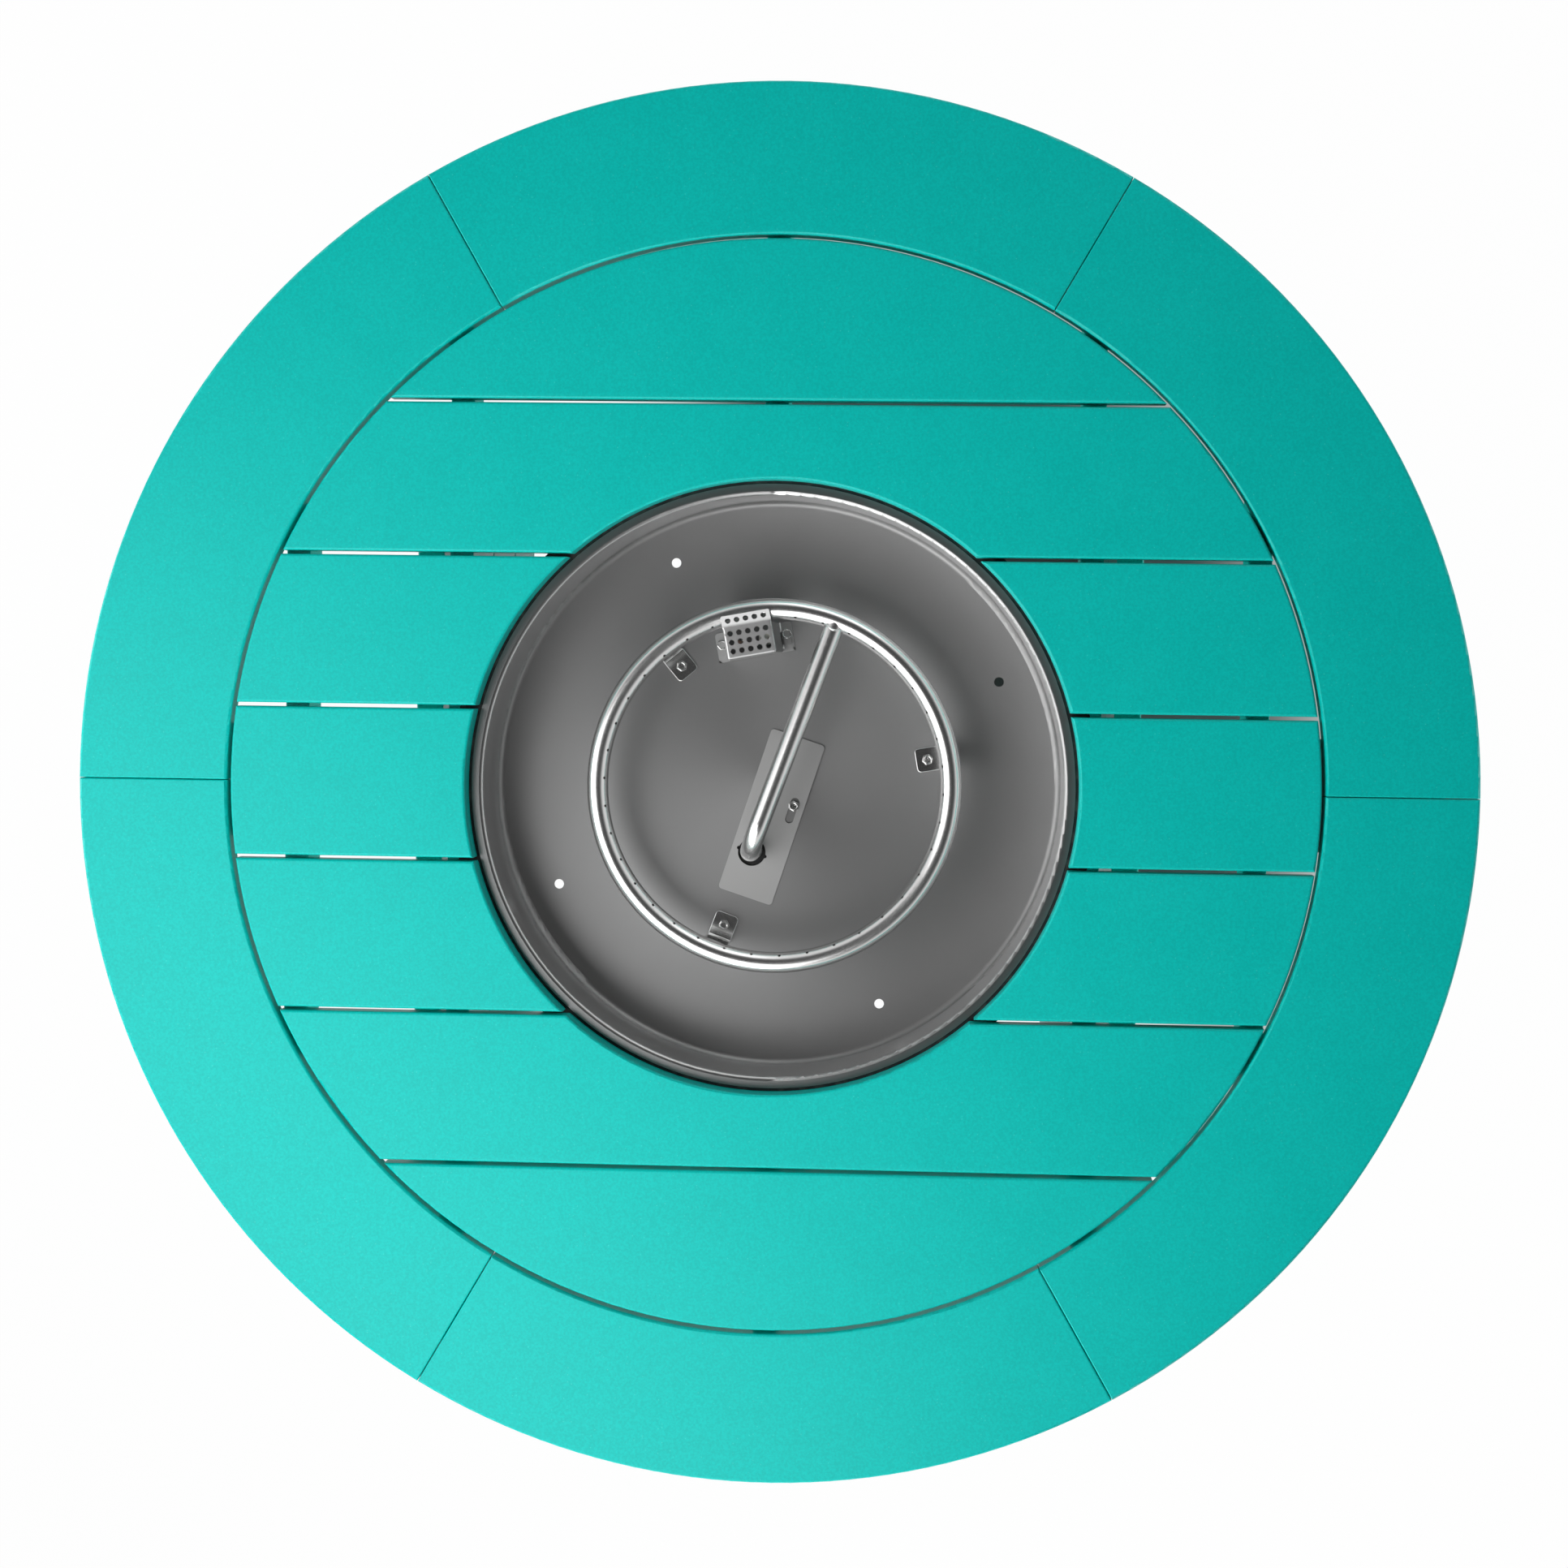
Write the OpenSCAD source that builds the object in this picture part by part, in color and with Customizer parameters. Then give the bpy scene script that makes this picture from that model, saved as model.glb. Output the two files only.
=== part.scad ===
// Round gas fire pit table: a slatted board top with a drop-in burner pan on a square cabinet.
// Millimetres, origin on the floor under the middle of the top, +Z up, the door faces -Y.

/* [Table top] */
// Diameter of the table top
table_d = 1118; // [1080:1:1200]
// Height of the top surface above the floor
table_h = 620; // [600:1:740]
// Thickness of every board
board_t = 22; // [19:0.5:26]
// Rounding of the long board edges
board_round = 2.2; // [1:0.1:4]
// Width of the outer ring boards
ring_w = 120.5; // [105:0.5:130]
// Gap between the outer ring and the slats
ring_gap = 3; // [1:0.5:6]
// Gap at the joints of the outer ring
joint_gap = 0.6; // [0.2:0.1:2]
// Rounding of the ring boards at their joints
joint_round = 1.2; // [0.5:0.1:2]
// Distance between the middles of neighbouring slats
slat_pitch = 122.4; // [116:0.1:124]
// Gap between neighbouring boards
slat_gap = 3; // [2:0.1:6]

/* [Cleats] */
// Width of the cleats under the slats
cleat_w = 19; // [16:0.5:24]
// Height of the cleats under the slats
cleat_h = 45; // [38:1:60]
// Distance of the outer cleats inside the edge of the slats
outer_cleat_in = 49.5; // [40:0.5:75]
// Distance of the inner cleats outside the posts' inner faces
inner_cleat_out = 17; // [14:0.5:22]
// How far the cleats stop inside the rim
cleat_inset = 25; // [15:1:40]
// Diameter of the wood screws
screw_d = 4; // [3:0.5:5]
// Depth of the wood screws in the boards of the top
screw_bite = 12; // [8:1:16]

/* [Burner pan] */
// Inside diameter of the pan wall
pan_d = 468; // [450:1:490]
// Depth of the pan from the flange to its floor
pan_depth = 80; // [76:1:100]
// Sheet thickness of the pan
pan_sheet = 1.2; // [0.8:0.1:2]
// Width of the flange outside the pan wall
flange_w = 9; // [7:0.5:14]
// Inside radius of the bend from the wall to the floor
floor_bend = 5.5; // [3:0.5:8]
// Radius of the upper side of the bend from the flange to the wall
rim_bend = 3.2; // [2.2:0.1:5]
// Distance of the drain holes from the middle
drain_r = 201.5; // [180:0.5:210]
// Diameter of a drain hole
drain_d = 8; // [5:0.5:12]
// Angle of the first drain hole
drain_angle = 25.5; // [15:0.5:40]
// Gap between the flange and the cut-out in the slats
cutout_clear = 2.5; // [1:0.5:5]
// Thickness of the ring that carries the pan
support_t = 3; // [2:0.5:5]
// Lap of the carrying ring under the slats
support_lap = 15; // [13:0.5:22]

/* [Burner] */
// Outside diameter of the burner ring
burner_d = 304.8; // [296:0.1:314]
// Outside diameter of the ring tube
burner_tube_d = 17.1; // [16:0.1:18]
// Outside diameter of the feed tube
feed_tube_d = 16.4; // [14:0.1:16.5]
// Wall of both tubes
tube_wall = 2.3; // [1.5:0.1:3]
// Height of the ring's middle above the pan floor
burner_lift = 55; // [50:0.5:58]
// Number of gas ports
port_count = 38; // [20:1:48]
// Diameter of a gas port
port_d = 2.2; // [1.5:0.1:3]
// Angle of the gas ports above level
port_rise = 44; // [30:1:55]
// Direction of the feed tube
feed_angle = 70; // [66:1:74]
// Distance from the middle to the feed tube's drop
feed_offset = 58.5; // [56:0.5:70]
// Bend radius of the feed tube
feed_bend = 25; // [20:1:30]
// Angle of the first ring bracket
bracket_angle = 10; // [5:1:14]
// Width of a ring bracket
bracket_w = 20; // [16:0.5:24]
// Length of a ring bracket's foot
bracket_foot = 23; // [21:0.5:26]
// Sheet thickness of the ring brackets
bracket_t = 2; // [1.5:0.1:2.5]
// Diameter of the burner screws
burner_screw_d = 5; // [4:0.5:6]

/* [Feed plate] */
// Length of the feed plate
feed_plate_l = 140; // [130:1:150]
// Width of the feed plate
feed_plate_w = 46.7; // [44:0.1:56]
// Thickness of the feed plate
feed_plate_t = 1.5; // [1:0.1:2]
// Diameter of its hole round the feed tube
feed_hole_d = 23; // [20:0.5:26]
// Length of its slot
feed_slot_l = 22; // [18:0.5:26]
// Width of its slot
feed_slot_w = 7; // [6.5:0.1:8]

/* [Pilot cage] */
// Distance from the ring's middle line in to the middle of the cage
cage_in = 23.75; // [22.5:0.05:25]
// Angle at which the cage stands
cage_angle = 99.9; // [98:0.1:103]
// Length of the cage's top
cage_l = 40; // [38:0.5:44]
// Width of the cage's top
cage_w = 27; // [24:0.5:28]
// Height of the cage above the pan floor
cage_h = 66; // [66:0.5:70]
// Sheet thickness of the cage
cage_t = 1.2; // [0.8:0.1:1.6]
// Diameter of the holes in the cage
cage_hole_d = 4.6; // [3.5:0.1:5]
// Distance between the holes in the cage
cage_hole_pitch = 7.3; // [6.5:0.1:8]
// Length of the cage's tabs
cage_tab_l = 9.8; // [9.4:0.1:13]
// Width of the cage's tabs
cage_tab_w = 26; // [20:0.5:27]

/* [Gas train] */
// Drop from the underside of the pan to the gas axis
gas_drop = 15; // [14:0.5:18]
// Diameter of the elbow and the air mixer
fitting_d = 25; // [24:0.5:26]
// Length of the air mixer
mixer_l = 45; // [40:1:55]
// Diameter of the gas line
gas_line_d = 10; // [8:0.5:12]
// Width and height of the valve body
valve_w = 32; // [28:1:34]
// Diameter of the flare inlet under the valve
inlet_d = 15.88; // [12:0.01:18]
// Length of the flare inlet
inlet_l = 15; // [12:1:15]

/* [Cabinet] */
// Width and depth of the cabinet
base_w = 600; // [580:1:640]
// Width of the corner posts
post_w = 64; // [60:1:80]
// How far the walls stand back from the posts
wall_inset = 3; // [1:0.5:6]
// Depth of the grooves in the posts
groove_depth = 8; // [5:0.5:12]
// Height of the lowest wall board above the floor
wall_floor = 40; // [30:1:80]
// Diameter of a foot
foot_d = 50; // [40:1:58]
// Height of a foot
foot_h = 15; // [10:1:25]

/* [Door] */
// Gap round the door
door_gap = 3; // [2.5:0.1:4]
// Height of the door above the floor
door_floor = 25; // [20:1:60]
// Width of the door battens
batten_w = 50; // [40:1:70]
// Height of a hinge
hinge_l = 60; // [50:1:80]
// Diameter of the hinge knuckles
knuckle_d = 10; // [9:0.5:12]
// Diameter of the hinge pins
hinge_pin_d = 5; // [4:0.1:5.5]
// Distance between the middles of the pull's legs
pull_l = 96; // [80:1:128]
// Diameter of the pull
pull_d = 10; // [8:0.5:12]
// Distance from the door to the middle of the pull
pull_reach = 27; // [25:1:35]

/* [Controls] */
// Width of the control plate
plate_w = 120; // [112:1:150]
// Height of the control plate
plate_h = 56; // [52:1:58]
// Thickness of the control plate
plate_t = 1.5; // [1:0.1:2.5]
// Diameter of the control knob
knob_d = 40; // [32:0.5:44]
// Depth of the control knob
knob_l = 20; // [18:0.5:26]
// Travel of the control knob when pushed
knob_push = 4; // [3:0.5:5]
// Diameter of the valve stem
stem_d = 8; // [6:0.5:9]
// Diameter of the igniter button
button_d = 16; // [12:0.5:17]
// Travel of the igniter button
button_push = 5; // [3:0.5:6]
// Diameter of the igniter's barrel
barrel_d = 22; // [20:0.5:24]

/* [Hidden] */
$fn = 72;
segment_count = 6;
row_count = 7;
middle_row = (row_count + 1) / 2;
wall_rows = 4;
fit = 0.2;
run = 0.05;
weld = 0.3;
past = 1;

// Heights
top_z = table_h;
under_z = top_z - board_t;
cleat_z = under_z - cleat_h;
floor_z = under_z + pan_sheet - pan_depth;
pan_under_z = floor_z - pan_sheet;
burner_z = floor_z + burner_lift;
gas_z = pan_under_z - gas_drop;
header_z = gas_z - plate_h / 2 - 2;
door_top_z = header_z - door_gap;
support_z = under_z - support_t;

// Radii of the top and the pan
rim_r = table_d / 2;
ring_in_r = rim_r - ring_w;
slat_r = ring_in_r - ring_gap;
pan_r = pan_d / 2;
flange_r = pan_r + flange_w;
cutout_r = flange_r + cutout_clear;
support_clear = 2.3;
support_in_r = pan_r + pan_sheet + support_clear;
support_out_r = cutout_r + support_lap;
support_screw_r = cutout_r + support_lap / 2;

// Cabinet and door
half = base_w / 2;
post_in = half - post_w;
wall_out = half - wall_inset;
wall_in = wall_out - board_t;
door_x = post_in - door_gap;
hinge_x = -post_in + door_gap / 2;
hinge_y = -half - knuckle_d / 2 - 1;
leaf_t = (door_gap - fit) / 2;
hinge_mids = [door_floor + hinge_l, door_top_z - hinge_l];
pull_edge = 38;
pull_x = door_x - pull_edge;
pull_drop = 40;
pull_z = door_top_z - pull_drop - pull_l / 2;
batten_edge = 85;
batten_x = door_x - batten_edge;
batten_t = 19;
batten_short = 15;
strike_t = 1.2;
strike_h = 16;
strike_drop = 4;
catch_w = 28;
catch_t = 16;
catch_h = 28;

// Cleats and the screws of the top
inner_cleat_x = post_in + inner_cleat_out;
outer_cleat_x = slat_r - outer_cleat_in;
center_cleat_y = support_out_r + past / 2;
cleat_round = 1;
cleat_r = rim_r - cleat_inset;
pan_room_r = pan_r + pan_sheet + 5;
joint_plate_w = 90;
joint_plate_t = 3;
joint_plate_round = 6;
plate_x = outer_cleat_x + cleat_w / 2 + joint_plate_t;
screw_head_d = 2.2 * screw_d;
screw_head_h = 0.65 * screw_d;
screw_tip_z = under_z + screw_bite;
top_bracket_t = 2.5;
top_bracket_l = 30;
bracket_screw_in = 18;
bracket_screw_up = [inner_cleat_x, post_in - bracket_screw_in];
bracket_screw_z = cleat_z - bracket_screw_in;
function cleat_end(x) = sqrt(cleat_r ^ 2 - x ^ 2);
function ring_start(x) = sqrt(ring_in_r ^ 2 - x ^ 2);
function slat_end(x) = sqrt(slat_r ^ 2 - x ^ 2);
function beside_support(x) = sqrt(max(0, (support_out_r + screw_head_d) ^ 2 - x ^ 2));
function between(low, high, share) = low + (high - low) * share;
first_row_y = 2.5 * slat_pitch + slat_gap / 2;
second_row_y = 1.5 * slat_pitch + slat_gap / 2;
quarter_screws = [
  [inner_cleat_x, max(slat_pitch, beside_support(inner_cleat_x))],
  [inner_cleat_x, min(second_row_y + screw_head_d, post_in - top_bracket_l - screw_head_d / 2 - past)],
  [inner_cleat_x, between(first_row_y, slat_end(inner_cleat_x), 0.5)],
  [inner_cleat_x, between(ring_start(inner_cleat_x), cleat_end(inner_cleat_x), 0.3)],
  [inner_cleat_x, between(ring_start(inner_cleat_x), cleat_end(inner_cleat_x), 0.9)],
  [outer_cleat_x, slat_pitch],
  [outer_cleat_x, between(ring_start(outer_cleat_x), cleat_end(outer_cleat_x), 0.5)]
];
axis_screws = [
  [0, center_cleat_y + screw_head_d / 2 + past],
  [0, between(first_row_y, slat_end(0), 0.5)],
  [0, between(ring_start(0), cleat_end(0), 0.5)]
];
cleat_screws = [
  for (p = quarter_screws, sx = [-1, 1], sy = [-1, 1]) [sx * p.x, sy * p.y],
  for (p = axis_screws, sy = [-1, 1]) [0, sy * p.y],
  for (sx = [-1, 1]) [sx * outer_cleat_x, 0]
];
support_screw_count = 8;
support_screws = [
  for (k = [0:support_screw_count - 1]) let (a = (k + 0.5) * 360 / support_screw_count)
    support_screw_r * [cos(a), sin(a)]
];
joint_screw_xs = [between(plate_x, slat_r, 0.5), between(ring_in_r, cleat_r, 0.4)];
joint_screws = [
  for (x = joint_screw_xs, sx = [-1, 1], sy = [-1, 1]) [sx * x, sy * joint_plate_w / 4]
];
top_holes = concat(cleat_screws, support_screws, joint_screws);

// Burner and what stands on the pan floor
tube_r = burner_tube_d / 2;
burner_r = burner_d / 2 - tube_r;
feed_r = feed_tube_d / 2;
feed_dir = [cos(feed_angle), sin(feed_angle)];
feed_xy = -feed_offset * feed_dir;
feed_hole_shift = 2.5;
feed_hole_xy = feed_xy - feed_hole_shift * feed_dir;
feed_floor_clear = 2.5;
feed_floor_hole_r = feed_hole_d / 2 + feed_floor_clear;
feed_notch_r = 1.5;
feed_socket = 3;
leg_inset = 4.85;
leg_out_r = burner_r - leg_inset;
leg_top_z = burner_z - sqrt(tube_r ^ 2 - (burner_r - leg_out_r) ^ 2) - weld;
bracket_screw_edge = 9.7;
bracket_screw_r = leg_out_r - bracket_foot + bracket_screw_edge;
bracket_angles = [for (k = [0:2]) bracket_angle + 120 * k];
feed_plate_skew = 2;
feed_plate_angle = feed_angle + feed_plate_skew;
feed_plate_dir = [cos(feed_plate_angle), sin(feed_plate_angle)];
function feed_point(along, aside) =
  feed_hole_xy + along * feed_plate_dir + aside * [feed_plate_dir.y, -feed_plate_dir.x];
feed_plate_at = [33, 6.2];
feed_slot_at = [43.6, 20.7];
feed_screw_shift = 4;
feed_plate_round = 3;
feed_plate_mid = feed_point(feed_plate_at.x, feed_plate_at.y);
feed_slot_mid = feed_point(feed_slot_at.x, feed_slot_at.y);
feed_screw_xy = feed_slot_mid + feed_screw_shift * feed_plate_dir;
cage_r = burner_r - cage_in;
cage_skew = -0.7;
cage_turn = cage_angle - 90 - cage_skew;
cage_xy = cage_r * [cos(cage_angle), sin(cage_angle)];
cage_splay = 2.2;
cage_clear = 2;
cage_lip = 9;
cage_lip_rise = 25;
cage_slot_l = 13;
cage_slot_drop = 3.5;
cage_screw_v = 1;
cage_back = sqrt((burner_r - tube_r) ^ 2 - (cage_l / 2 + cage_splay) ^ 2) - cage_r - cage_clear;
cage_screw_t = cage_l / 2 + cage_splay + cage_tab_l / 2;
function cage_point(t, v) =
  cage_xy + t * [cos(cage_turn), sin(cage_turn)] + v * [-sin(cage_turn), cos(cage_turn)];
probe_along = -10;
probe_xy = cage_point(probe_along, 0);
probe_r = 1.6;
probe_h = 45;
spark_along = 9;
spark_xy = cage_point(spark_along, 0);
spark_r = 3.5;
spark_tip_r = 1;
spark_collar = 2;
spark_h = 26;
spark_tip_h = 40;
spark_tail = 4;
burner_screw_seats = concat(
  [for (a = bracket_angles) [bracket_screw_r * cos(a), bracket_screw_r * sin(a), bracket_t]],
  [[feed_screw_xy.x, feed_screw_xy.y, feed_plate_t]],
  [for (s = [-1, 1]) let (p = cage_point(s * cage_screw_t, cage_screw_v)) [p.x, p.y, cage_t]]
);

// Controls and gas train, all on one axis
knob_x = feed_xy.x;
button_x = -knob_x;
plate_y = -wall_out - plate_t;
boss_wall = 4;
boss_d = stem_d + 2 * boss_wall;
valve_l = 37;
valve_back = -wall_in + valve_l;
valve_round = 2;
nub_l = 8;
nub_wall = 3;
stem_bore_l = 25;
stem_spare = 4;
stem_bore_end = -wall_in + stem_bore_l;
stem_back = stem_bore_end - knob_push - stem_spare;
knob_clear = 2;
knob_round = 2;
knob_bore_l = 12;
knob_back = plate_y - knob_push - knob_clear;
stem_front = knob_back - knob_bore_l;
bezel_t = 1.5;
bezel_lap = 2;
button_round = 1.5;
button_tail = 10;
button_front = plate_y - bezel_t - button_push - button_round;
barrel_l = 35;
barrel_back = -wall_in + barrel_l;
elbow_l = 12;
elbow_wall = 1.5;
elbow_end = feed_xy.y - fitting_d / 2 - elbow_l;
mixer_end = elbow_end - mixer_l;
mixer_socket = 10;
mixer_port_r = 4;
jet_r = 0.8;
gas_line_wall = 1;
lead_drop = 9;
lead_z = pan_under_z - lead_drop;
lead_r = 1.5;
lead_bend = 8;
lead_slant = 40;
lead_front = 60;

turquoise = [0.02, 0.71, 0.68];
steel = [0.62, 0.63, 0.64];
polished = [0.78, 0.79, 0.80];
black = [0.10, 0.10, 0.11];
brass = [0.78, 0.62, 0.30];
ceramic = [0.93, 0.91, 0.86];
iron = [0.24, 0.24, 0.25];

// Shapes that repeat

// Rectangle with four round corners, between two opposite corners
module rounded_rect(low, high, r) {
  size = high - low;
  translate(low + [r, 0]) square(size - [2 * r, 0]);
  translate(low + [0, r]) square(size - [0, 2 * r]);
  for (x = [low.x + r, high.x - r], y = [low.y + r, high.y - r]) translate([x, y]) circle(r);
}

// Straight board along X with rounded long edges
module board_x(x0, x1, y0, y1, z0, z1, r = board_round)
  translate([x0, 0, 0]) rotate([90, 0, 90]) linear_extrude(x1 - x0)
    rounded_rect([y0, z0], [y1, z1], r);

// Straight board along Y with rounded long edges
module board_y(x0, x1, y0, y1, z0, z1, r = board_round)
  translate([0, y1, 0]) rotate([90, 0, 0]) linear_extrude(y1 - y0)
    rounded_rect([x0, z0], [x1, z1], r);

// Straight board along Z with rounded long edges
module board_z(x0, x1, y0, y1, z0, z1, r = board_round)
  translate([0, 0, z0]) linear_extrude(z1 - z0) rounded_rect([x0, y0], [x1, y1], r);

// Box between two opposite corners
module box(low, high) translate(low) cube(high - low);

// Cylinder along Y from y0 to y1
module rod_y(x, z, y0, y1, r) translate([x, y1, z]) rotate([90, 0, 0]) cylinder(r = r, h = y1 - y0);

// Cylinder along Z from z0 to z1
module rod_z(xy, z0, z1, r, sides = $fn)
  translate([xy.x, xy.y, z0]) cylinder(r = r, h = z1 - z0, $fn = sides);

// Copies in the four corners
module four_corners() for (sx = [0, 1], sy = [0, 1]) mirror([sx, 0, 0]) mirror([0, sy, 0]) children();

// Wood screw driven upwards, its head under the face at z
module screw_up(xy, z, tip_z) {
  rod_z(xy, z - screw_head_h, z, screw_head_d / 2);
  rod_z(xy, z - screw_head_h, tip_z, screw_d / 2);
}

// Holes that the screws of the top cut
module screw_holes(points, z0, z1)
  for (p = points) rod_z(p, z0, z1, screw_d / 2 + run);

// Quarter of a sheet bend, in the quadrant that turn gives
module sheet_bend(mid, r_out, t, turn) translate(mid) rotate(turn) intersection() {
  difference() {
    circle(r_out);
    circle(r_out - t);
  }
  square(r_out);
}

// Route with each inner corner rounded by an arc
function unit(v) = v / norm(v);
function arc_between(s, e, steps) = let (a = acos(unit(s) * unit(e)))
  [for (j = [0:steps]) (s * sin(a * (1 - j / steps)) + e * sin(a * j / steps)) / sin(a)];
function corner(a, b, c, r, steps) = let (
    p = unit(a - b),
    q = unit(c - b),
    turn = acos(p * q) / 2,
    mid = b + unit(p + q) * r / sin(turn),
    run_in = r / tan(turn)
  ) [for (v = arc_between(b + p * run_in - mid, b + q * run_in - mid, steps)) mid + v];
function rounded_route(p, r, steps = 5) = [
  p[0],
  for (i = [1:len(p) - 2]) each corner(p[i - 1], p[i], p[i + 1], r, steps),
  p[len(p) - 1]
];

// Round tube swept along a route, one closed surface
module swept_tube(route, r, sides = 10) {
  n = len(route);
  along = [for (i = [0:n - 1]) unit(route[min(i + 1, n - 1)] - route[max(i - 1, 0)])];
  start = unit(cross(along[0], abs(along[0].x) < 0.9 ? [1, 0, 0] : [0, 1, 0]));
  across = [
    for (i = 0, u = start; i < n; i = i + 1, u = i < n ? unit(u - (u * along[i]) * along[i]) : u) u
  ];
  points = [
    for (i = [0:n - 1], k = [0:sides - 1])
      route[i] + r * (cos(360 * k / sides) * across[i] + sin(360 * k / sides) * cross(along[i], across[i]))
  ];
  walls = [
    for (i = [0:n - 2], k = [0:sides - 1]) let (
      a = i * sides + k,
      b = i * sides + (k + 1) % sides
    ) each [[a, a + sides, b], [b, a + sides, b + sides]]
  ];
  first = [for (k = [0:sides - 1]) k];
  last = [for (k = [sides - 1:-1:0]) (n - 1) * sides + k];
  polyhedron(points, concat(walls, [first, last]));
}

// Table top

// Half space on one side of a ring joint, with the joint's rounded edges
module joint_side(angle, left) rotate([0, 0, angle]) rotate([90, 0, 90]) linear_extrude(rim_r + past)
  mirror([left ? 0 : 1, 0]) rounded_rect([joint_gap / 2, under_z], [rim_r + board_t, top_z], joint_round);

module ring_segment(k) color(turquoise) {
  step = 360 / segment_count;
  margin = 2;
  holes = [
    for (p = top_holes) let (a = (atan2(p.y, p.x) + 360) % 360 - (k - 1) * step)
      if (norm(p) > ring_in_r && abs(a - step / 2) % (360 - step / 2) < step / 2 + margin) p
  ];
  difference() {
    intersection() {
      rotate_extrude($fn = 180) rounded_rect([ring_in_r, under_z], [rim_r, top_z], board_round);
      joint_side((k - 1) * step, true);
      joint_side(k * step, false);
    }
    screw_holes(holes, under_z - past, screw_tip_z + weld);
  }
}

// Round plate with a rounded rim, from which the slats are cut
module slat_disk() rotate_extrude($fn = 180) {
  translate([0, under_z]) square([slat_r - board_round, board_t]);
  translate([0, under_z + board_round]) square([slat_r, board_t - 2 * board_round]);
  for (z = [under_z + board_round, top_z - board_round])
    translate([slat_r - board_round, z]) circle(board_round);
}

// Cut-out for the pan, flared where the slats' upper edge is rounded
module pan_cutout() rotate_extrude($fn = 180) {
  translate([0, under_z - past]) square([cutout_r, board_t + 2 * past]);
  translate([cutout_r - past, top_z - board_round]) difference() {
    square([board_round + past, board_round + past]);
    translate([board_round + past, 0]) circle(board_round);
  }
}

// One row of the slats; side is 0 for a whole row, -1 or 1 for half of it
module slat(row, side = 0) color(turquoise) {
  mid = (middle_row - row) * slat_pitch;
  low = row == row_count ? -slat_r - slat_gap : mid - (slat_pitch - slat_gap) / 2;
  high = row == 1 ? slat_r + slat_gap : mid + (slat_pitch - slat_gap) / 2;
  holes = [
    for (p = top_holes)
      if (norm(p) < slat_r && p.y > low && p.y < high && (side == 0 || sign(p.x) == side)) p
  ];
  difference() {
    intersection() {
      board_x(side > 0 ? 0 : -rim_r, side < 0 ? 0 : rim_r, low, high, under_z, top_z);
      slat_disk();
    }
    pan_cutout();
    screw_holes(holes, under_z - past, screw_tip_z + weld);
  }
}

module center_cleats() color(turquoise) difference() {
  for (s = [-1, 1]) {
    ends = s * [center_cleat_y, cleat_end(cleat_w / 2)];
    board_y(-cleat_w / 2, cleat_w / 2, min(ends), max(ends), cleat_z, under_z, cleat_round);
  }
  screw_holes([for (p = cleat_screws) if (p.x == 0) p], cleat_z - past, under_z + past);
}

module side_cleats(x, holes) for (s = [-1, 1]) difference() {
  end = cleat_end(x + cleat_w / 2);
  board_y(s * x - cleat_w / 2, s * x + cleat_w / 2, -end, end, cleat_z, under_z, cleat_round);
  screw_holes([for (p = holes) if (p.x == s * x) p], cleat_z - past, under_z + past);
}

module inner_cleats() color(turquoise) difference() {
  side_cleats(inner_cleat_x, cleat_screws);
  rod_z([0, 0], support_z - weld, under_z + past, support_out_r + weld);
  rod_z([0, 0], cleat_z - past, under_z + past, pan_room_r);
  four_corners() rod_z(bracket_screw_up, cleat_z - past, cleat_z + screw_bite + weld, screw_d / 2 + run);
}

module outer_cleats() color(turquoise) side_cleats(outer_cleat_x, cleat_screws);

module ring_joint_plates() color(steel) difference() {
  for (s = [-1, 1]) {
    ends = s * [plate_x, cleat_r];
    board_z(min(ends), max(ends), -joint_plate_w / 2, joint_plate_w / 2,
      under_z - joint_plate_t, under_z, joint_plate_round);
  }
  screw_holes(joint_screws, cleat_z, under_z + past);
}

module top_screws() color(steel) {
  for (p = cleat_screws) screw_up(p, cleat_z, screw_tip_z);
  for (p = support_screws) screw_up(p, support_z, screw_tip_z);
  for (p = joint_screws) screw_up(p, under_z - joint_plate_t, screw_tip_z);
  four_corners() {
    screw_up(bracket_screw_up, cleat_z - top_bracket_t, cleat_z + screw_bite);
    translate([inner_cleat_x, post_in - top_bracket_t, bracket_screw_z]) rotate([-90, 0, 0])
      screw_up([0, 0], 0, screw_bite);
  }
}

// Pan and burner

module pan_support_ring() color(iron) difference() {
  rod_z([0, 0], support_z, under_z, support_out_r);
  rod_z([0, 0], support_z - past, under_z + past, support_in_r);
  screw_holes(support_screws, support_z - past, under_z + past);
}

// Section of the pan: flange, rim bend, wall, floor bend and floor
module pan_section() {
  out_bend = floor_bend + pan_sheet;
  rim_x = pan_r + rim_bend;
  translate([rim_x, under_z]) square([flange_r - rim_x, pan_sheet]);
  sheet_bend([rim_x, under_z + pan_sheet - rim_bend], rim_bend, pan_sheet, 90);
  translate([pan_r, floor_z + floor_bend])
    square([pan_sheet, under_z + pan_sheet - rim_bend - floor_z - floor_bend]);
  sheet_bend([pan_r - floor_bend, floor_z + floor_bend], out_bend, pan_sheet, -90);
  translate([0, pan_under_z]) square([pan_r - floor_bend, pan_sheet]);
}

module floor_hole(xy, r) rod_z(xy, pan_under_z - past, floor_z + past, r);

module burner_pan() color(steel) difference() {
  rotate_extrude($fn = 180) pan_section();
  for (a = [0:90:270]) floor_hole(drain_r * [cos(a + drain_angle), sin(a + drain_angle)], drain_d / 2);
  for (p = burner_screw_seats) floor_hole(p, burner_screw_d / 2 + fit);
  floor_hole(feed_hole_xy, feed_floor_hole_r);
  floor_hole(probe_xy, probe_r + fit);
  floor_hole(spark_xy, spark_r + fit);
}

port_start = 2.8;

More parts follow.
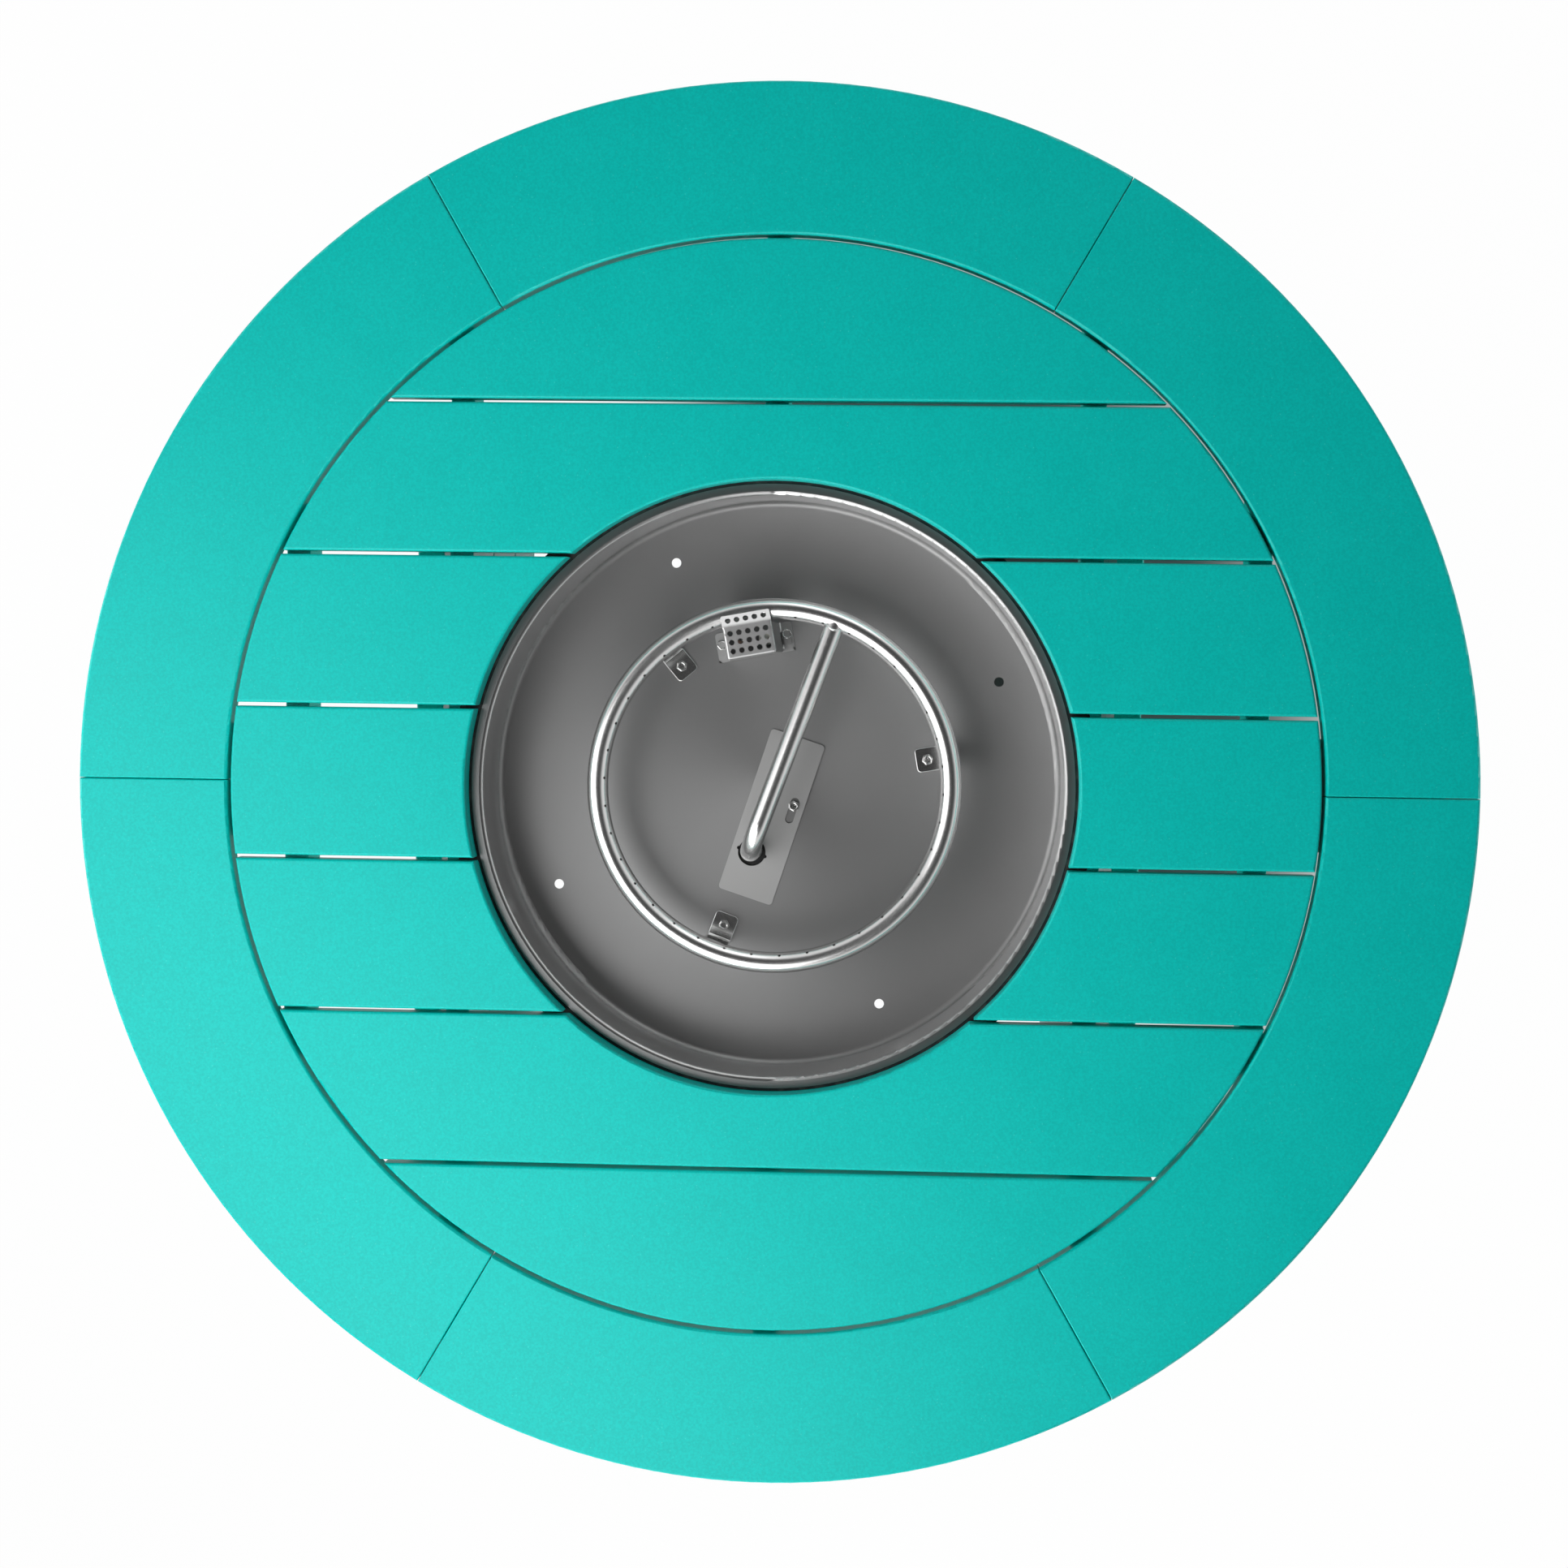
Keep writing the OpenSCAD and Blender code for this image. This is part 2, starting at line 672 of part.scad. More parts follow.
module burner_ring() color(polished) difference() {
  translate([0, 0, burner_z]) rotate_extrude($fn = 144) translate([burner_r, 0]) difference() {
    circle(tube_r);
    circle(tube_r - tube_wall);
  }
  for (k = [0:port_count - 1]) rotate([0, 0, (k + 0.5) * 360 / port_count + port_start])
    translate([burner_r, 0, burner_z]) rotate([0, port_rise - 90, 0])
      translate([0, 0, tube_r - 2 * tube_wall]) cylinder(d = port_d, h = 3 * tube_wall, $fn = 24);
  rotate([0, 0, feed_angle]) translate([burner_r - 2 * tube_r, 0, burner_z]) rotate([0, 90, 0])
    cylinder(r = feed_r - tube_wall, h = 2 * tube_r);
}

// Feed tube's path at radius r: the level run, the bend and the drop
module feed_path(r, more) {
  low_z = gas_z + feed_socket;
  rotate([0, 0, feed_angle]) {
    translate([feed_bend - feed_offset, 0, burner_z]) rotate([0, 90, 0])
      cylinder(r = r, h = burner_r + feed_offset - feed_bend);
    translate([feed_bend - feed_offset, 0, burner_z - feed_bend]) rotate([90, 0, 0])
      rotate([0, 0, 90]) rotate_extrude(angle = 90) translate([feed_bend, 0]) circle(r);
    translate([-feed_offset, 0, low_z - more]) cylinder(r = r, h = burner_z - feed_bend - low_z + more);
  }
}

module feed_tube() color(polished) difference() {
  feed_path(feed_r, 0);
  feed_path(feed_r - tube_wall, past);
  translate([0, 0, burner_z]) rotate_extrude($fn = 144) translate([burner_r, 0]) circle(tube_r + run);
}

module ring_brackets() color(steel) for (a = bracket_angles) rotate([0, 0, a]) difference() {
  inner = leg_out_r - bracket_foot;
  side = bracket_w / 2;
  union() {
    board_z(inner, leg_out_r - bracket_t, -side, side, floor_z, floor_z + bracket_t, bracket_t);
    box([leg_out_r - 3 * bracket_t, -side, floor_z], [leg_out_r, side, floor_z + bracket_t]);
    box([leg_out_r - bracket_t, -side, floor_z], [leg_out_r, side, leg_top_z]);
  }
  rod_z([bracket_screw_r, 0], floor_z - past, floor_z + 2 * bracket_t, burner_screw_d / 2 + fit);
}

// Corner radius and heights of the hex heads and nuts
hex_r = burner_screw_d * 0.93;
head_h = burner_screw_d * 0.7;
nut_h = burner_screw_d * 0.8;

module burner_screws() color(polished) for (p = burner_screw_seats) difference() {
  seat_z = floor_z + p.z;
  union() {
    rod_z(p, seat_z, seat_z + head_h, hex_r, 6);
    rod_z(p, pan_under_z - nut_h - past, seat_z + past, burner_screw_d / 2);
  }
  for (a = [0, 90]) translate([p.x, p.y, seat_z + head_h]) rotate([0, 0, a])
    cube([burner_screw_d, burner_screw_d / 5, head_h], center = true);
}

module burner_nuts() color(steel) for (p = burner_screw_seats) difference() {
  rod_z(p, pan_under_z - nut_h, pan_under_z, hex_r, 6);
  rod_z(p, pan_under_z - nut_h - past, pan_under_z + past, burner_screw_d / 2 + run);
}

module feed_plate() color(steel) difference() {
  translate([feed_plate_mid.x, feed_plate_mid.y, 0]) rotate([0, 0, feed_plate_angle])
    board_z(-feed_plate_l / 2, feed_plate_l / 2, -feed_plate_w / 2, feed_plate_w / 2,
      floor_z, floor_z + feed_plate_t, feed_plate_round);
  rod_z(feed_hole_xy, floor_z - past, floor_z + feed_plate_t + past, feed_hole_d / 2);
  for (s = [-1, 1])
    rod_z(feed_point(0, s * feed_hole_d / 2), floor_z - past, floor_z + feed_plate_t + past, feed_notch_r);
  translate([feed_slot_mid.x, feed_slot_mid.y, floor_z - past]) rotate([0, 0, feed_plate_angle])
    linear_extrude(feed_plate_t + 2 * past) slot_outline(feed_slot_l, feed_slot_w);
}

// Slot with round ends along X
module slot_outline(length, width) {
  square([length - width, width], center = true);
  for (s = [-1, 1]) translate([s * (length - width) / 2, 0]) circle(width / 2);
}

// Cage of bent sheet in its own frame: X along the ring, Y outwards, Z up from the pan floor
module pilot_cage() color(polished)
  translate([cage_xy.x, cage_xy.y, floor_z]) rotate([0, 0, cage_turn]) difference() {
    half_l = cage_l / 2;
    half_w = cage_w / 2;
    foot = half_l + cage_splay;
    lip_corner = 1.9;
    lip_lap = 2;
    tab_corner = 0.5;
    end_wall = [[foot, 0], [foot - cage_t, 0], [half_l - cage_t, cage_h], [half_l, cage_h]];
    union() {
      box([-half_l, -half_w, cage_h - cage_t], [half_l, half_w, cage_h]);
      translate([0, half_w, cage_h]) rotate([cage_lip_rise, 0, 0]) translate([0, 0, -cage_t])
        linear_extrude(cage_t) rounded_rect([-half_l, -lip_lap], [half_l, cage_lip], lip_corner);
      translate([0, cage_t - half_w, 0]) rotate([90, 0, 0]) linear_extrude(cage_t)
        polygon([[-foot, 0], [foot, 0], [half_l, cage_h], [-half_l, cage_h]]);
      for (s = [0, 1]) mirror([s, 0, 0]) {
        translate([0, cage_back, 0]) rotate([90, 0, 0]) linear_extrude(cage_back + half_w)
          polygon(end_wall);
        board_z(foot - cage_t, foot + cage_tab_l, -cage_tab_w / 2, min(cage_tab_w / 2, cage_back),
          0, cage_t, tab_corner);
      }
    }
    for (i = [-2:2], j = [-1:1])
      rod_z(cage_hole_pitch * [i, j], cage_h - cage_t - past, cage_h + past, cage_hole_d / 2, 32);
    translate([0, half_w, cage_h]) rotate([cage_lip_rise, 0, 0])
      for (i = [-2:2]) rod_z([i * cage_hole_pitch, cage_lip / 2], -cage_t - past, past, cage_hole_d / 2, 32);
    for (s = [-1, 1]) translate([s * cage_screw_t, cage_screw_v - cage_slot_drop, -past]) rotate([0, 0, 90])
      linear_extrude(cage_t + 2 * past) slot_outline(cage_slot_l, burner_screw_d + 2 * fit);
  }

// Pilot and gas train

module thermocouple() color(polished) {
  side_x = knob_x - fitting_d;
  swept_tube(rounded_route([
    [probe_xy.x, probe_xy.y, floor_z + probe_h],
    [probe_xy.x, probe_xy.y, lead_z],
    [side_x, probe_xy.y - lead_slant, lead_z],
    [side_x, -wall_in + lead_front, lead_z],
    [side_x, valve_back - nub_l, gas_z],
    [knob_x - valve_w / 2, valve_back - nub_l, gas_z]
  ], lead_bend), lead_r);
}

module spark_electrode() color(ceramic) {
  rod_z(spark_xy, pan_under_z - spark_tail, floor_z + spark_h, spark_r);
  rod_z(spark_xy, floor_z, floor_z + spark_collar, spark_r + spark_collar);
  rod_z(spark_xy, floor_z + spark_h - past, floor_z + spark_tip_h, spark_tip_r);
}

module igniter_lead() color(black) swept_tube(rounded_route([
  [spark_xy.x, spark_xy.y, pan_under_z - spark_tail],
  [spark_xy.x, spark_xy.y, lead_z - spark_tail],
  [button_x, spark_xy.y - lead_front, lead_z - spark_tail],
  [button_x, barrel_back + lead_front, lead_z - spark_tail],
  [button_x, barrel_back + lead_front / 2, gas_z],
  [button_x, barrel_back, gas_z]
], lead_bend / 2), lead_r);

module elbow_fitting() color(iron) difference() {
  socket_r = fitting_d / 2 + elbow_wall;
  union() {
    rod_z(feed_xy, gas_z - socket_r, pan_under_z - 2 * past, socket_r);
    rod_y(feed_xy.x, gas_z, elbow_end, feed_xy.y, fitting_d / 2);
  }
  rod_z(feed_xy, gas_z + feed_socket, pan_under_z, feed_r + run);
  rod_z(feed_xy, gas_z - feed_r, gas_z + feed_socket + past, feed_r - tube_wall);
  rod_y(feed_xy.x, gas_z, elbow_end - past, feed_xy.y, gas_line_d / 2 - gas_line_wall);
}

module air_mixer() color(brass) difference() {
  rod_y(feed_xy.x, gas_z, mixer_end, elbow_end, fitting_d / 2);
  rod_y(feed_xy.x, gas_z, mixer_end + mixer_socket + 2 * past, elbow_end + past, feed_r - tube_wall);
  rod_y(feed_xy.x, gas_z, mixer_end - past, mixer_end + mixer_socket, gas_line_d / 2 + run);
  rod_y(feed_xy.x, gas_z, mixer_end, mixer_end + mixer_socket + 3 * past, jet_r);
  for (a = [0:90:270]) translate([feed_xy.x, mixer_end + mixer_l / 2, gas_z]) rotate([0, a, 0])
    cylinder(r = mixer_port_r, h = fitting_d);
}

module gas_line() color(brass) difference() {
  end = mixer_end + mixer_socket;
  rod_y(feed_xy.x, gas_z, valve_back, end, gas_line_d / 2);
  rod_y(feed_xy.x, gas_z, valve_back - past, end + past, gas_line_d / 2 - gas_line_wall);
}

// Cabinet

post_round = 4;

// Post with a groove for each wall that it holds, in the corner given by signs
module corner_post(sx, sy, front) difference() {
  xs = sx * [post_in, half];
  ys = sy * [post_in, half];
  board_z(min(xs), max(xs), min(ys), max(ys), foot_h, cleat_z, post_round);
  side_xs = sx * [wall_in - fit, wall_out + fit];
  side_ys = sy * [post_in - past, post_in + groove_depth + fit];
  box([min(side_xs), min(side_ys), wall_floor - fit], [max(side_xs), max(side_ys), cleat_z + past]);
  face_xs = sx * [post_in - past, post_in + groove_depth + fit];
  face_ys = sy * [wall_in - fit, wall_out + fit];
  face_z = front ? header_z : wall_floor;
  box([min(face_xs), min(face_ys), face_z - fit], [max(face_xs), max(face_ys), cleat_z + past]);
  rod_z([sx, sy] * (half - post_w / 2), foot_h - past, foot_h + foot_stud_l + past, foot_stud_r + run);
  translate([sx * inner_cleat_x, sy * post_in, bracket_screw_z]) rotate([-90 * sy, 0, 0])
    rod_z([0, 0], -past, screw_bite + weld, screw_d / 2 + run);
}

module front_posts() color(turquoise) for (sx = [-1, 1]) corner_post(sx, -1, true);
module back_posts() color(turquoise) for (sx = [-1, 1]) corner_post(sx, 1, false);

wall_board_h = (cleat_z - wall_floor - (wall_rows - 1) * slat_gap) / wall_rows;
wall_reach = post_in + groove_depth;
function wall_board_z(k) = wall_floor + k * (wall_board_h + slat_gap);

module side_wall(s) for (k = [0:wall_rows - 1]) {
  xs = s * [wall_in, wall_out];
  board_y(min(xs), max(xs), -wall_reach, wall_reach, wall_board_z(k), wall_board_z(k) + wall_board_h);
}

module left_wall_boards() color(turquoise) side_wall(-1);
module right_wall_boards() color(turquoise) side_wall(1);
module back_wall_boards() color(turquoise) for (k = [0:wall_rows - 1])
  board_x(-wall_reach, wall_reach, wall_in, wall_out, wall_board_z(k), wall_board_z(k) + wall_board_h);

module header_rail() color(turquoise) difference() {
  board_x(-wall_reach, wall_reach, -wall_out, -wall_in, header_z, cleat_z);
  rod_y(knob_x, gas_z, -half, -wall_in + past, boss_d / 2 + fit);
  rod_y(button_x, gas_z, -half, -wall_in + past, barrel_d / 2 + fit);
  for (p = control_screw_xz) rod_y(p.x, p.y, -half, screw_bite - wall_out + weld, control_screw_r + run);
}

// Angle brackets between the cleats and the posts
module top_brackets() color(steel) difference() {
  four_corners() {
    x0 = inner_cleat_x - cleat_w / 2;
    x1 = inner_cleat_x + cleat_w / 2;
    box([x0, post_in - top_bracket_l, cleat_z - top_bracket_t], [x1, post_in, cleat_z]);
    box([x0, post_in - top_bracket_t, cleat_z - top_bracket_l], [x1, post_in, cleat_z]);
  }
  four_corners() {
    rod_z(bracket_screw_up, cleat_z - top_bracket_l, cleat_z + past, screw_d / 2 + run);
    rod_y(inner_cleat_x, bracket_screw_z, post_in - top_bracket_l, post_in + past, screw_d / 2 + run);
  }
}

foot_stud_r = 5;
foot_stud_l = 20;

module feet() color(black) four_corners()
  translate([half - post_w / 2, half - post_w / 2, 0]) rotate_extrude() {
    soft = 2;
    square([foot_d / 2 - soft, foot_h]);
    translate([0, soft]) square([foot_d / 2, foot_h - 2 * soft]);
    for (z = [soft, foot_h - soft]) translate([foot_d / 2 - soft, z]) circle(soft);
    square([foot_stud_r, foot_h + foot_stud_l]);
  }

// Door

door_board_h = (door_top_z - door_floor - (wall_rows - 1) * slat_gap) / wall_rows;

module door_boards() color(turquoise) for (k = [0:wall_rows - 1]) {
  z = door_floor + k * (door_board_h + slat_gap);
  board_x(-door_x, door_x, -wall_out, -wall_in, z, z + door_board_h);
}

module door_battens() color(turquoise) for (s = [-1, 1])
  board_z(s * batten_x - batten_w / 2, s * batten_x + batten_w / 2, -wall_in, batten_t - wall_in,
    door_floor + batten_short, door_top_z - batten_short);

knuckle_h = hinge_l / 3;
leaf_short = 2;
pin_head_h = 2;

// Leaf of a hinge with its knuckles; x0 and x1 bound the leaf, spans holds the knuckles' heights
module hinge_leaf(mid, x0, x1, spans) difference() {
  union() {
    box(
      [x0, hinge_y + knuckle_d / 2 + 2 * fit, mid - hinge_l / 2],
      [x1, -wall_in - leaf_short, mid + hinge_l / 2]
    );
    for (s = spans) {
      rod_z([hinge_x, hinge_y], mid + s[0], mid + s[1], knuckle_d / 2);
      box([x0, hinge_y, mid + s[0]], [x1, hinge_y + knuckle_d / 2 + past, mid + s[1]]);
    }
  }
  rod_z([hinge_x, hinge_y], mid - hinge_l, mid + hinge_l, hinge_pin_d / 2 + run);
}

module hinge_post_leaves() color(steel) for (mid = hinge_mids)
  hinge_leaf(mid, -post_in, leaf_t - post_in,
    [[-hinge_l / 2, -knuckle_h / 2 - fit], [knuckle_h / 2 + fit, hinge_l / 2]]);

module hinge_door_leaves() color(steel) for (mid = hinge_mids)
  hinge_leaf(mid, -door_x - leaf_t, -door_x, [[fit - knuckle_h / 2, knuckle_h / 2 - fit]]);

module hinge_pins() color(polished) for (mid = hinge_mids) {
  rod_z([hinge_x, hinge_y], mid - hinge_l / 2, mid + hinge_l / 2, hinge_pin_d / 2);
  rod_z([hinge_x, hinge_y], mid + hinge_l / 2, mid + hinge_l / 2 + pin_head_h, knuckle_d / 2 - past);
}

module door_pull() color(steel) {
  bar_y = -wall_out - pull_reach;
  bar_half = pull_l / 2 + 1.5 * pull_d;
  rod_z([pull_x, bar_y], pull_z - bar_half, pull_z + bar_half, pull_d / 2);
  for (s = [-1, 1]) rod_y(pull_x, pull_z + s * pull_l / 2, bar_y, -wall_out, pull_d / 2 - past);
}

module magnet_catch() color(black) {
  x0 = pull_x - catch_w / 2;
  x1 = pull_x + catch_w / 2;
  back = catch_t - wall_in;
  face_y = strike_t + past / 2 - wall_in;
  box([x0, -wall_in, header_z + past], [x1, back, header_z + catch_h]);
  box([x0, face_y, door_top_z - strike_drop - strike_h + 2 * past], [x1, back, header_z + 2 * past]);
}

module strike_plate() color(steel) box(
  [pull_x - catch_w / 2, -wall_in, door_top_z - strike_drop - strike_h],
  [pull_x + catch_w / 2, strike_t - wall_in, door_top_z - strike_drop]
);

// Controls

control_screw_r = 1.6;
control_screw_head = 1.8;
control_screw_edge = 7;
plate_round = 5;
control_screw_xz = [
  for (sx = [-1, 1], sz = [-1, 1])
    [sx * (plate_w / 2 - control_screw_edge), gas_z + sz * (plate_h / 2 - control_screw_edge)]
];

module control_plate() color(steel) difference() {
  translate([0, -wall_out, gas_z]) rotate([90, 0, 0]) linear_extrude(plate_t)
    rounded_rect([-plate_w, -plate_h] / 2, [plate_w, plate_h] / 2, plate_round);
  rod_y(knob_x, gas_z, -half - past, -wall_in, boss_d / 2 + fit);
  rod_y(button_x, gas_z, -half - past, -wall_in, barrel_d / 2 + fit);
  for (p = control_screw_xz) rod_y(p.x, p.y, -half - past, -wall_in, control_screw_r + run);
}

module control_screws() color(polished) for (p = control_screw_xz) {
  rod_y(p.x, p.y, plate_y - control_screw_head, plate_y, 2 * control_screw_r);
  rod_y(p.x, p.y, plate_y - past, screw_bite - wall_out, control_screw_r);
}

module gas_valve() color(brass) difference() {
  union() {
    board_y(knob_x - valve_w / 2, knob_x + valve_w / 2, -wall_in, valve_back,
      gas_z - valve_w / 2, gas_z + valve_w / 2, valve_round);
    rod_y(knob_x, gas_z, plate_y, past - wall_in, boss_d / 2);
    rod_y(knob_x, gas_z, valve_back - past, valve_back + nub_l, gas_line_d / 2 + nub_wall);
    rod_z([knob_x, valve_back - valve_l / 2], gas_z - valve_w / 2 - inlet_l, gas_z, inlet_d / 2);
  }
  rod_y(knob_x, gas_z, plate_y - past, stem_bore_end, stem_d / 2 + run);
  rod_y(knob_x, gas_z, valve_back, valve_back + nub_l + past, gas_line_d / 2 + run);
}

module valve_stem() color(steel) rod_y(knob_x, gas_z, stem_front, stem_back, stem_d / 2);

module control_knob() color(black) difference() {
  skirt_l = knob_l * 0.45;
  grip_w = knob_d * 0.28;
  grip_half = knob_d / 2 - knob_round;
  union() {
    translate([knob_x, knob_back, gas_z]) rotate([90, 0, 0]) rotate_extrude() {
      square([knob_d / 2 - knob_round, skirt_l]);
      square([knob_d / 2, skirt_l - knob_round]);
      translate([knob_d / 2 - knob_round, skirt_l - knob_round]) circle(knob_round);
      square([stem_d, knob_l - knob_round]);
    }
    translate([knob_x, knob_back, gas_z]) rotate([90, 0, 0]) linear_extrude(knob_l)
      rounded_rect([-grip_w / 2, -grip_half], [grip_w / 2, grip_half], 1.5 * knob_round);
  }
  rod_y(knob_x, gas_z, stem_front - past, knob_back + past, stem_d / 2 + run);
}

module igniter_module() color(black) difference() {
  union() {
    rod_y(button_x, gas_z, plate_y, barrel_back, barrel_d / 2);
    rod_y(button_x, gas_z, plate_y - bezel_t, plate_y, barrel_d / 2 + bezel_lap);
  }
  rod_y(button_x, gas_z, plate_y - bezel_t - past, plate_y + button_tail + button_push + stem_spare,
    button_d / 2 + run);
}

module igniter_button() color(steel)
  translate([button_x, plate_y + button_tail, gas_z]) rotate([90, 0, 0]) rotate_extrude() {
    length = plate_y + button_tail - button_front;
    square([button_d / 2 - button_round, length]);
    square([button_d / 2, length - button_round]);
    translate([button_d / 2 - button_round, length - button_round]) circle(button_round);
  }

for (k = [1:segment_count]) ring_segment(k);
for (row = [1, 2, 6, 7]) slat(row);
for (row = [3, 4, 5]) {
  slat(row, -1);
  slat(row, 1);
}
center_cleats();
inner_cleats();
outer_cleats();
ring_joint_plates();
top_screws();
pan_support_ring();
burner_pan();
burner_ring();
feed_tube();
ring_brackets();
burner_screws();
burner_nuts();
feed_plate();
pilot_cage();
thermocouple();
spark_electrode();
igniter_lead();
elbow_fitting();
air_mixer();
gas_line();
front_posts();
back_posts();
left_wall_boards();
right_wall_boards();
back_wall_boards();
header_rail();
top_brackets();
feet();
door_boards();
door_battens();
hinge_post_leaves();
hinge_door_leaves();
hinge_pins();
door_pull();
magnet_catch();
strike_plate();
control_plate();
control_screws();
gas_valve();
valve_stem();
control_knob();
igniter_module();
igniter_button();
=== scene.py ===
"""Looks of the round gas fire pit table, laid out as an add-on and run as a script.

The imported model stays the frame. This file gives every board and metal piece its finish, models the bent
sheet, the fasteners, the welds and the controls over it, and stands it in a plain studio.
"""

import math

import bmesh
import bpy
from bpy.props import FloatProperty, FloatVectorProperty, PointerProperty
from bpy.types import Operator, Panel, PropertyGroup
from mathutils import Matrix, Vector


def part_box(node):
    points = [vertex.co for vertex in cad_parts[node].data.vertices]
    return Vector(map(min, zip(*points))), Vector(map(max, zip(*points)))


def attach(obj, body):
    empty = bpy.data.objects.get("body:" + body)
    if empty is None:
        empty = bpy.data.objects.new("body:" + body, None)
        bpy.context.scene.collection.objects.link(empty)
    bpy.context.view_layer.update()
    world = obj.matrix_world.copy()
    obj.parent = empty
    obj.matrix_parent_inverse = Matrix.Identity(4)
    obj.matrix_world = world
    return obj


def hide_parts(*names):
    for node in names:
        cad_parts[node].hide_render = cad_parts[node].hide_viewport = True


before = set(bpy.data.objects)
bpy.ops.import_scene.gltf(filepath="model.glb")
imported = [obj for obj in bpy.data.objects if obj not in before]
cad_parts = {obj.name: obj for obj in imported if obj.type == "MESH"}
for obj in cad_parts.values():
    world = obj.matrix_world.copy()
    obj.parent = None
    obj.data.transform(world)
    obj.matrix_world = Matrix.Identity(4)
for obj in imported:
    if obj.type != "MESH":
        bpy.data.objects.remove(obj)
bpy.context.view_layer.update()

bl_info = {
    "name": "Fire Pit Table Looks",
    "version": (1, 0, 0),
    "blender": (4, 5, 0),
    "location": "View3D > Sidebar > Fire Pit",
    "description": "Finishes, modelled fittings and a plain studio for the fire pit table",
    "category": "Object",
}

MM = 0.001
PAN_LOW, PAN_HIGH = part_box("burner_pan")
RING_LOW, RING_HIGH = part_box("burner_ring")
TABLE_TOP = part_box("slat_1")[1].z
TUBE_RADIUS = (RING_HIGH.z - RING_LOW.z) / 2
RING_RADIUS = RING_HIGH.x - TUBE_RADIUS
FEED_RADIUS = 8.2 * MM
FEED_ANGLE = math.radians(70)
FEED_FOOT = -61 * MM
PLATE_SKEW = math.radians(2)
BRACKET_LEG = 139 * MM
TUBES = ("burner_ring", "feed_tube")

# How near a point has to be to a plane, to the axis and to its double
TINY = 0.01 * MM
ON_AXIS = 0.1 * MM
DOUBLES = 0.002 * MM

# Painted shade on the studio floor: its reach from the middle, its straight edge and the side that it lies
# on
SHADE_REACH = (0.42, 0.66)
SHADE_EDGE = (0.04, 0.20)
SHADE_SIDE = (0.77, 0.64)


# Settings that a user would change


class FirePitBoards(PropertyGroup):
    """Colours and grain of the moulded boards."""

    deep: FloatVectorProperty(
        name="Deep turquoise", description="Board colour in the hollows of the grain",
        default=(0.0002, 0.575, 0.520), subtype="COLOR", min=0, max=1)
    light: FloatVectorProperty(
        name="Light turquoise", description="Board colour on the crests of the grain",
        default=(0.0004, 0.710, 0.645), subtype="COLOR", min=0, max=1)
    fleck: FloatVectorProperty(
        name="Fleck", description="Colour of the pale flecks in the boards",
        default=(0.12, 0.84, 0.76), subtype="COLOR", min=0, max=1)
    grain: FloatProperty(
        name="Grain", description="Size of the moulded grain", default=1.8 * MM, unit="LENGTH")
    roughness: FloatProperty(
        name="Roughness", description="How matt the boards are", default=0.34, subtype="FACTOR",
        min=0, max=1)


class FirePitSteel(PropertyGroup):
    """Colours and polish of the metal."""

    # The pan's floor and wall are one sheet: the darker sheet colour and the paler wall colour paint in how
    # each catches the light
    sheet: FloatVectorProperty(
        name="Pan sheet", description="Colour of the rolled pan sheet",
        default=(0.29, 0.29, 0.29), subtype="COLOR", min=0, max=1)
    wall: FloatVectorProperty(
        name="Pan wall", description="Colour of the pan's drawn wall",
        default=(0.80, 0.80, 0.80), subtype="COLOR", min=0, max=1)
    tube: FloatVectorProperty(
        name="Tube", description="Colour of the polished tube and fasteners",
        default=(0.73, 0.73, 0.725), subtype="COLOR", min=0, max=1)
    sheet_roughness: FloatProperty(
        name="Sheet roughness", description="How dull the pan sheet is", default=0.42, subtype="FACTOR",
        min=0, max=1)
    tube_roughness: FloatProperty(
        name="Tube roughness", description="How dull the tube is", default=0.24, subtype="FACTOR",
        min=0, max=1)


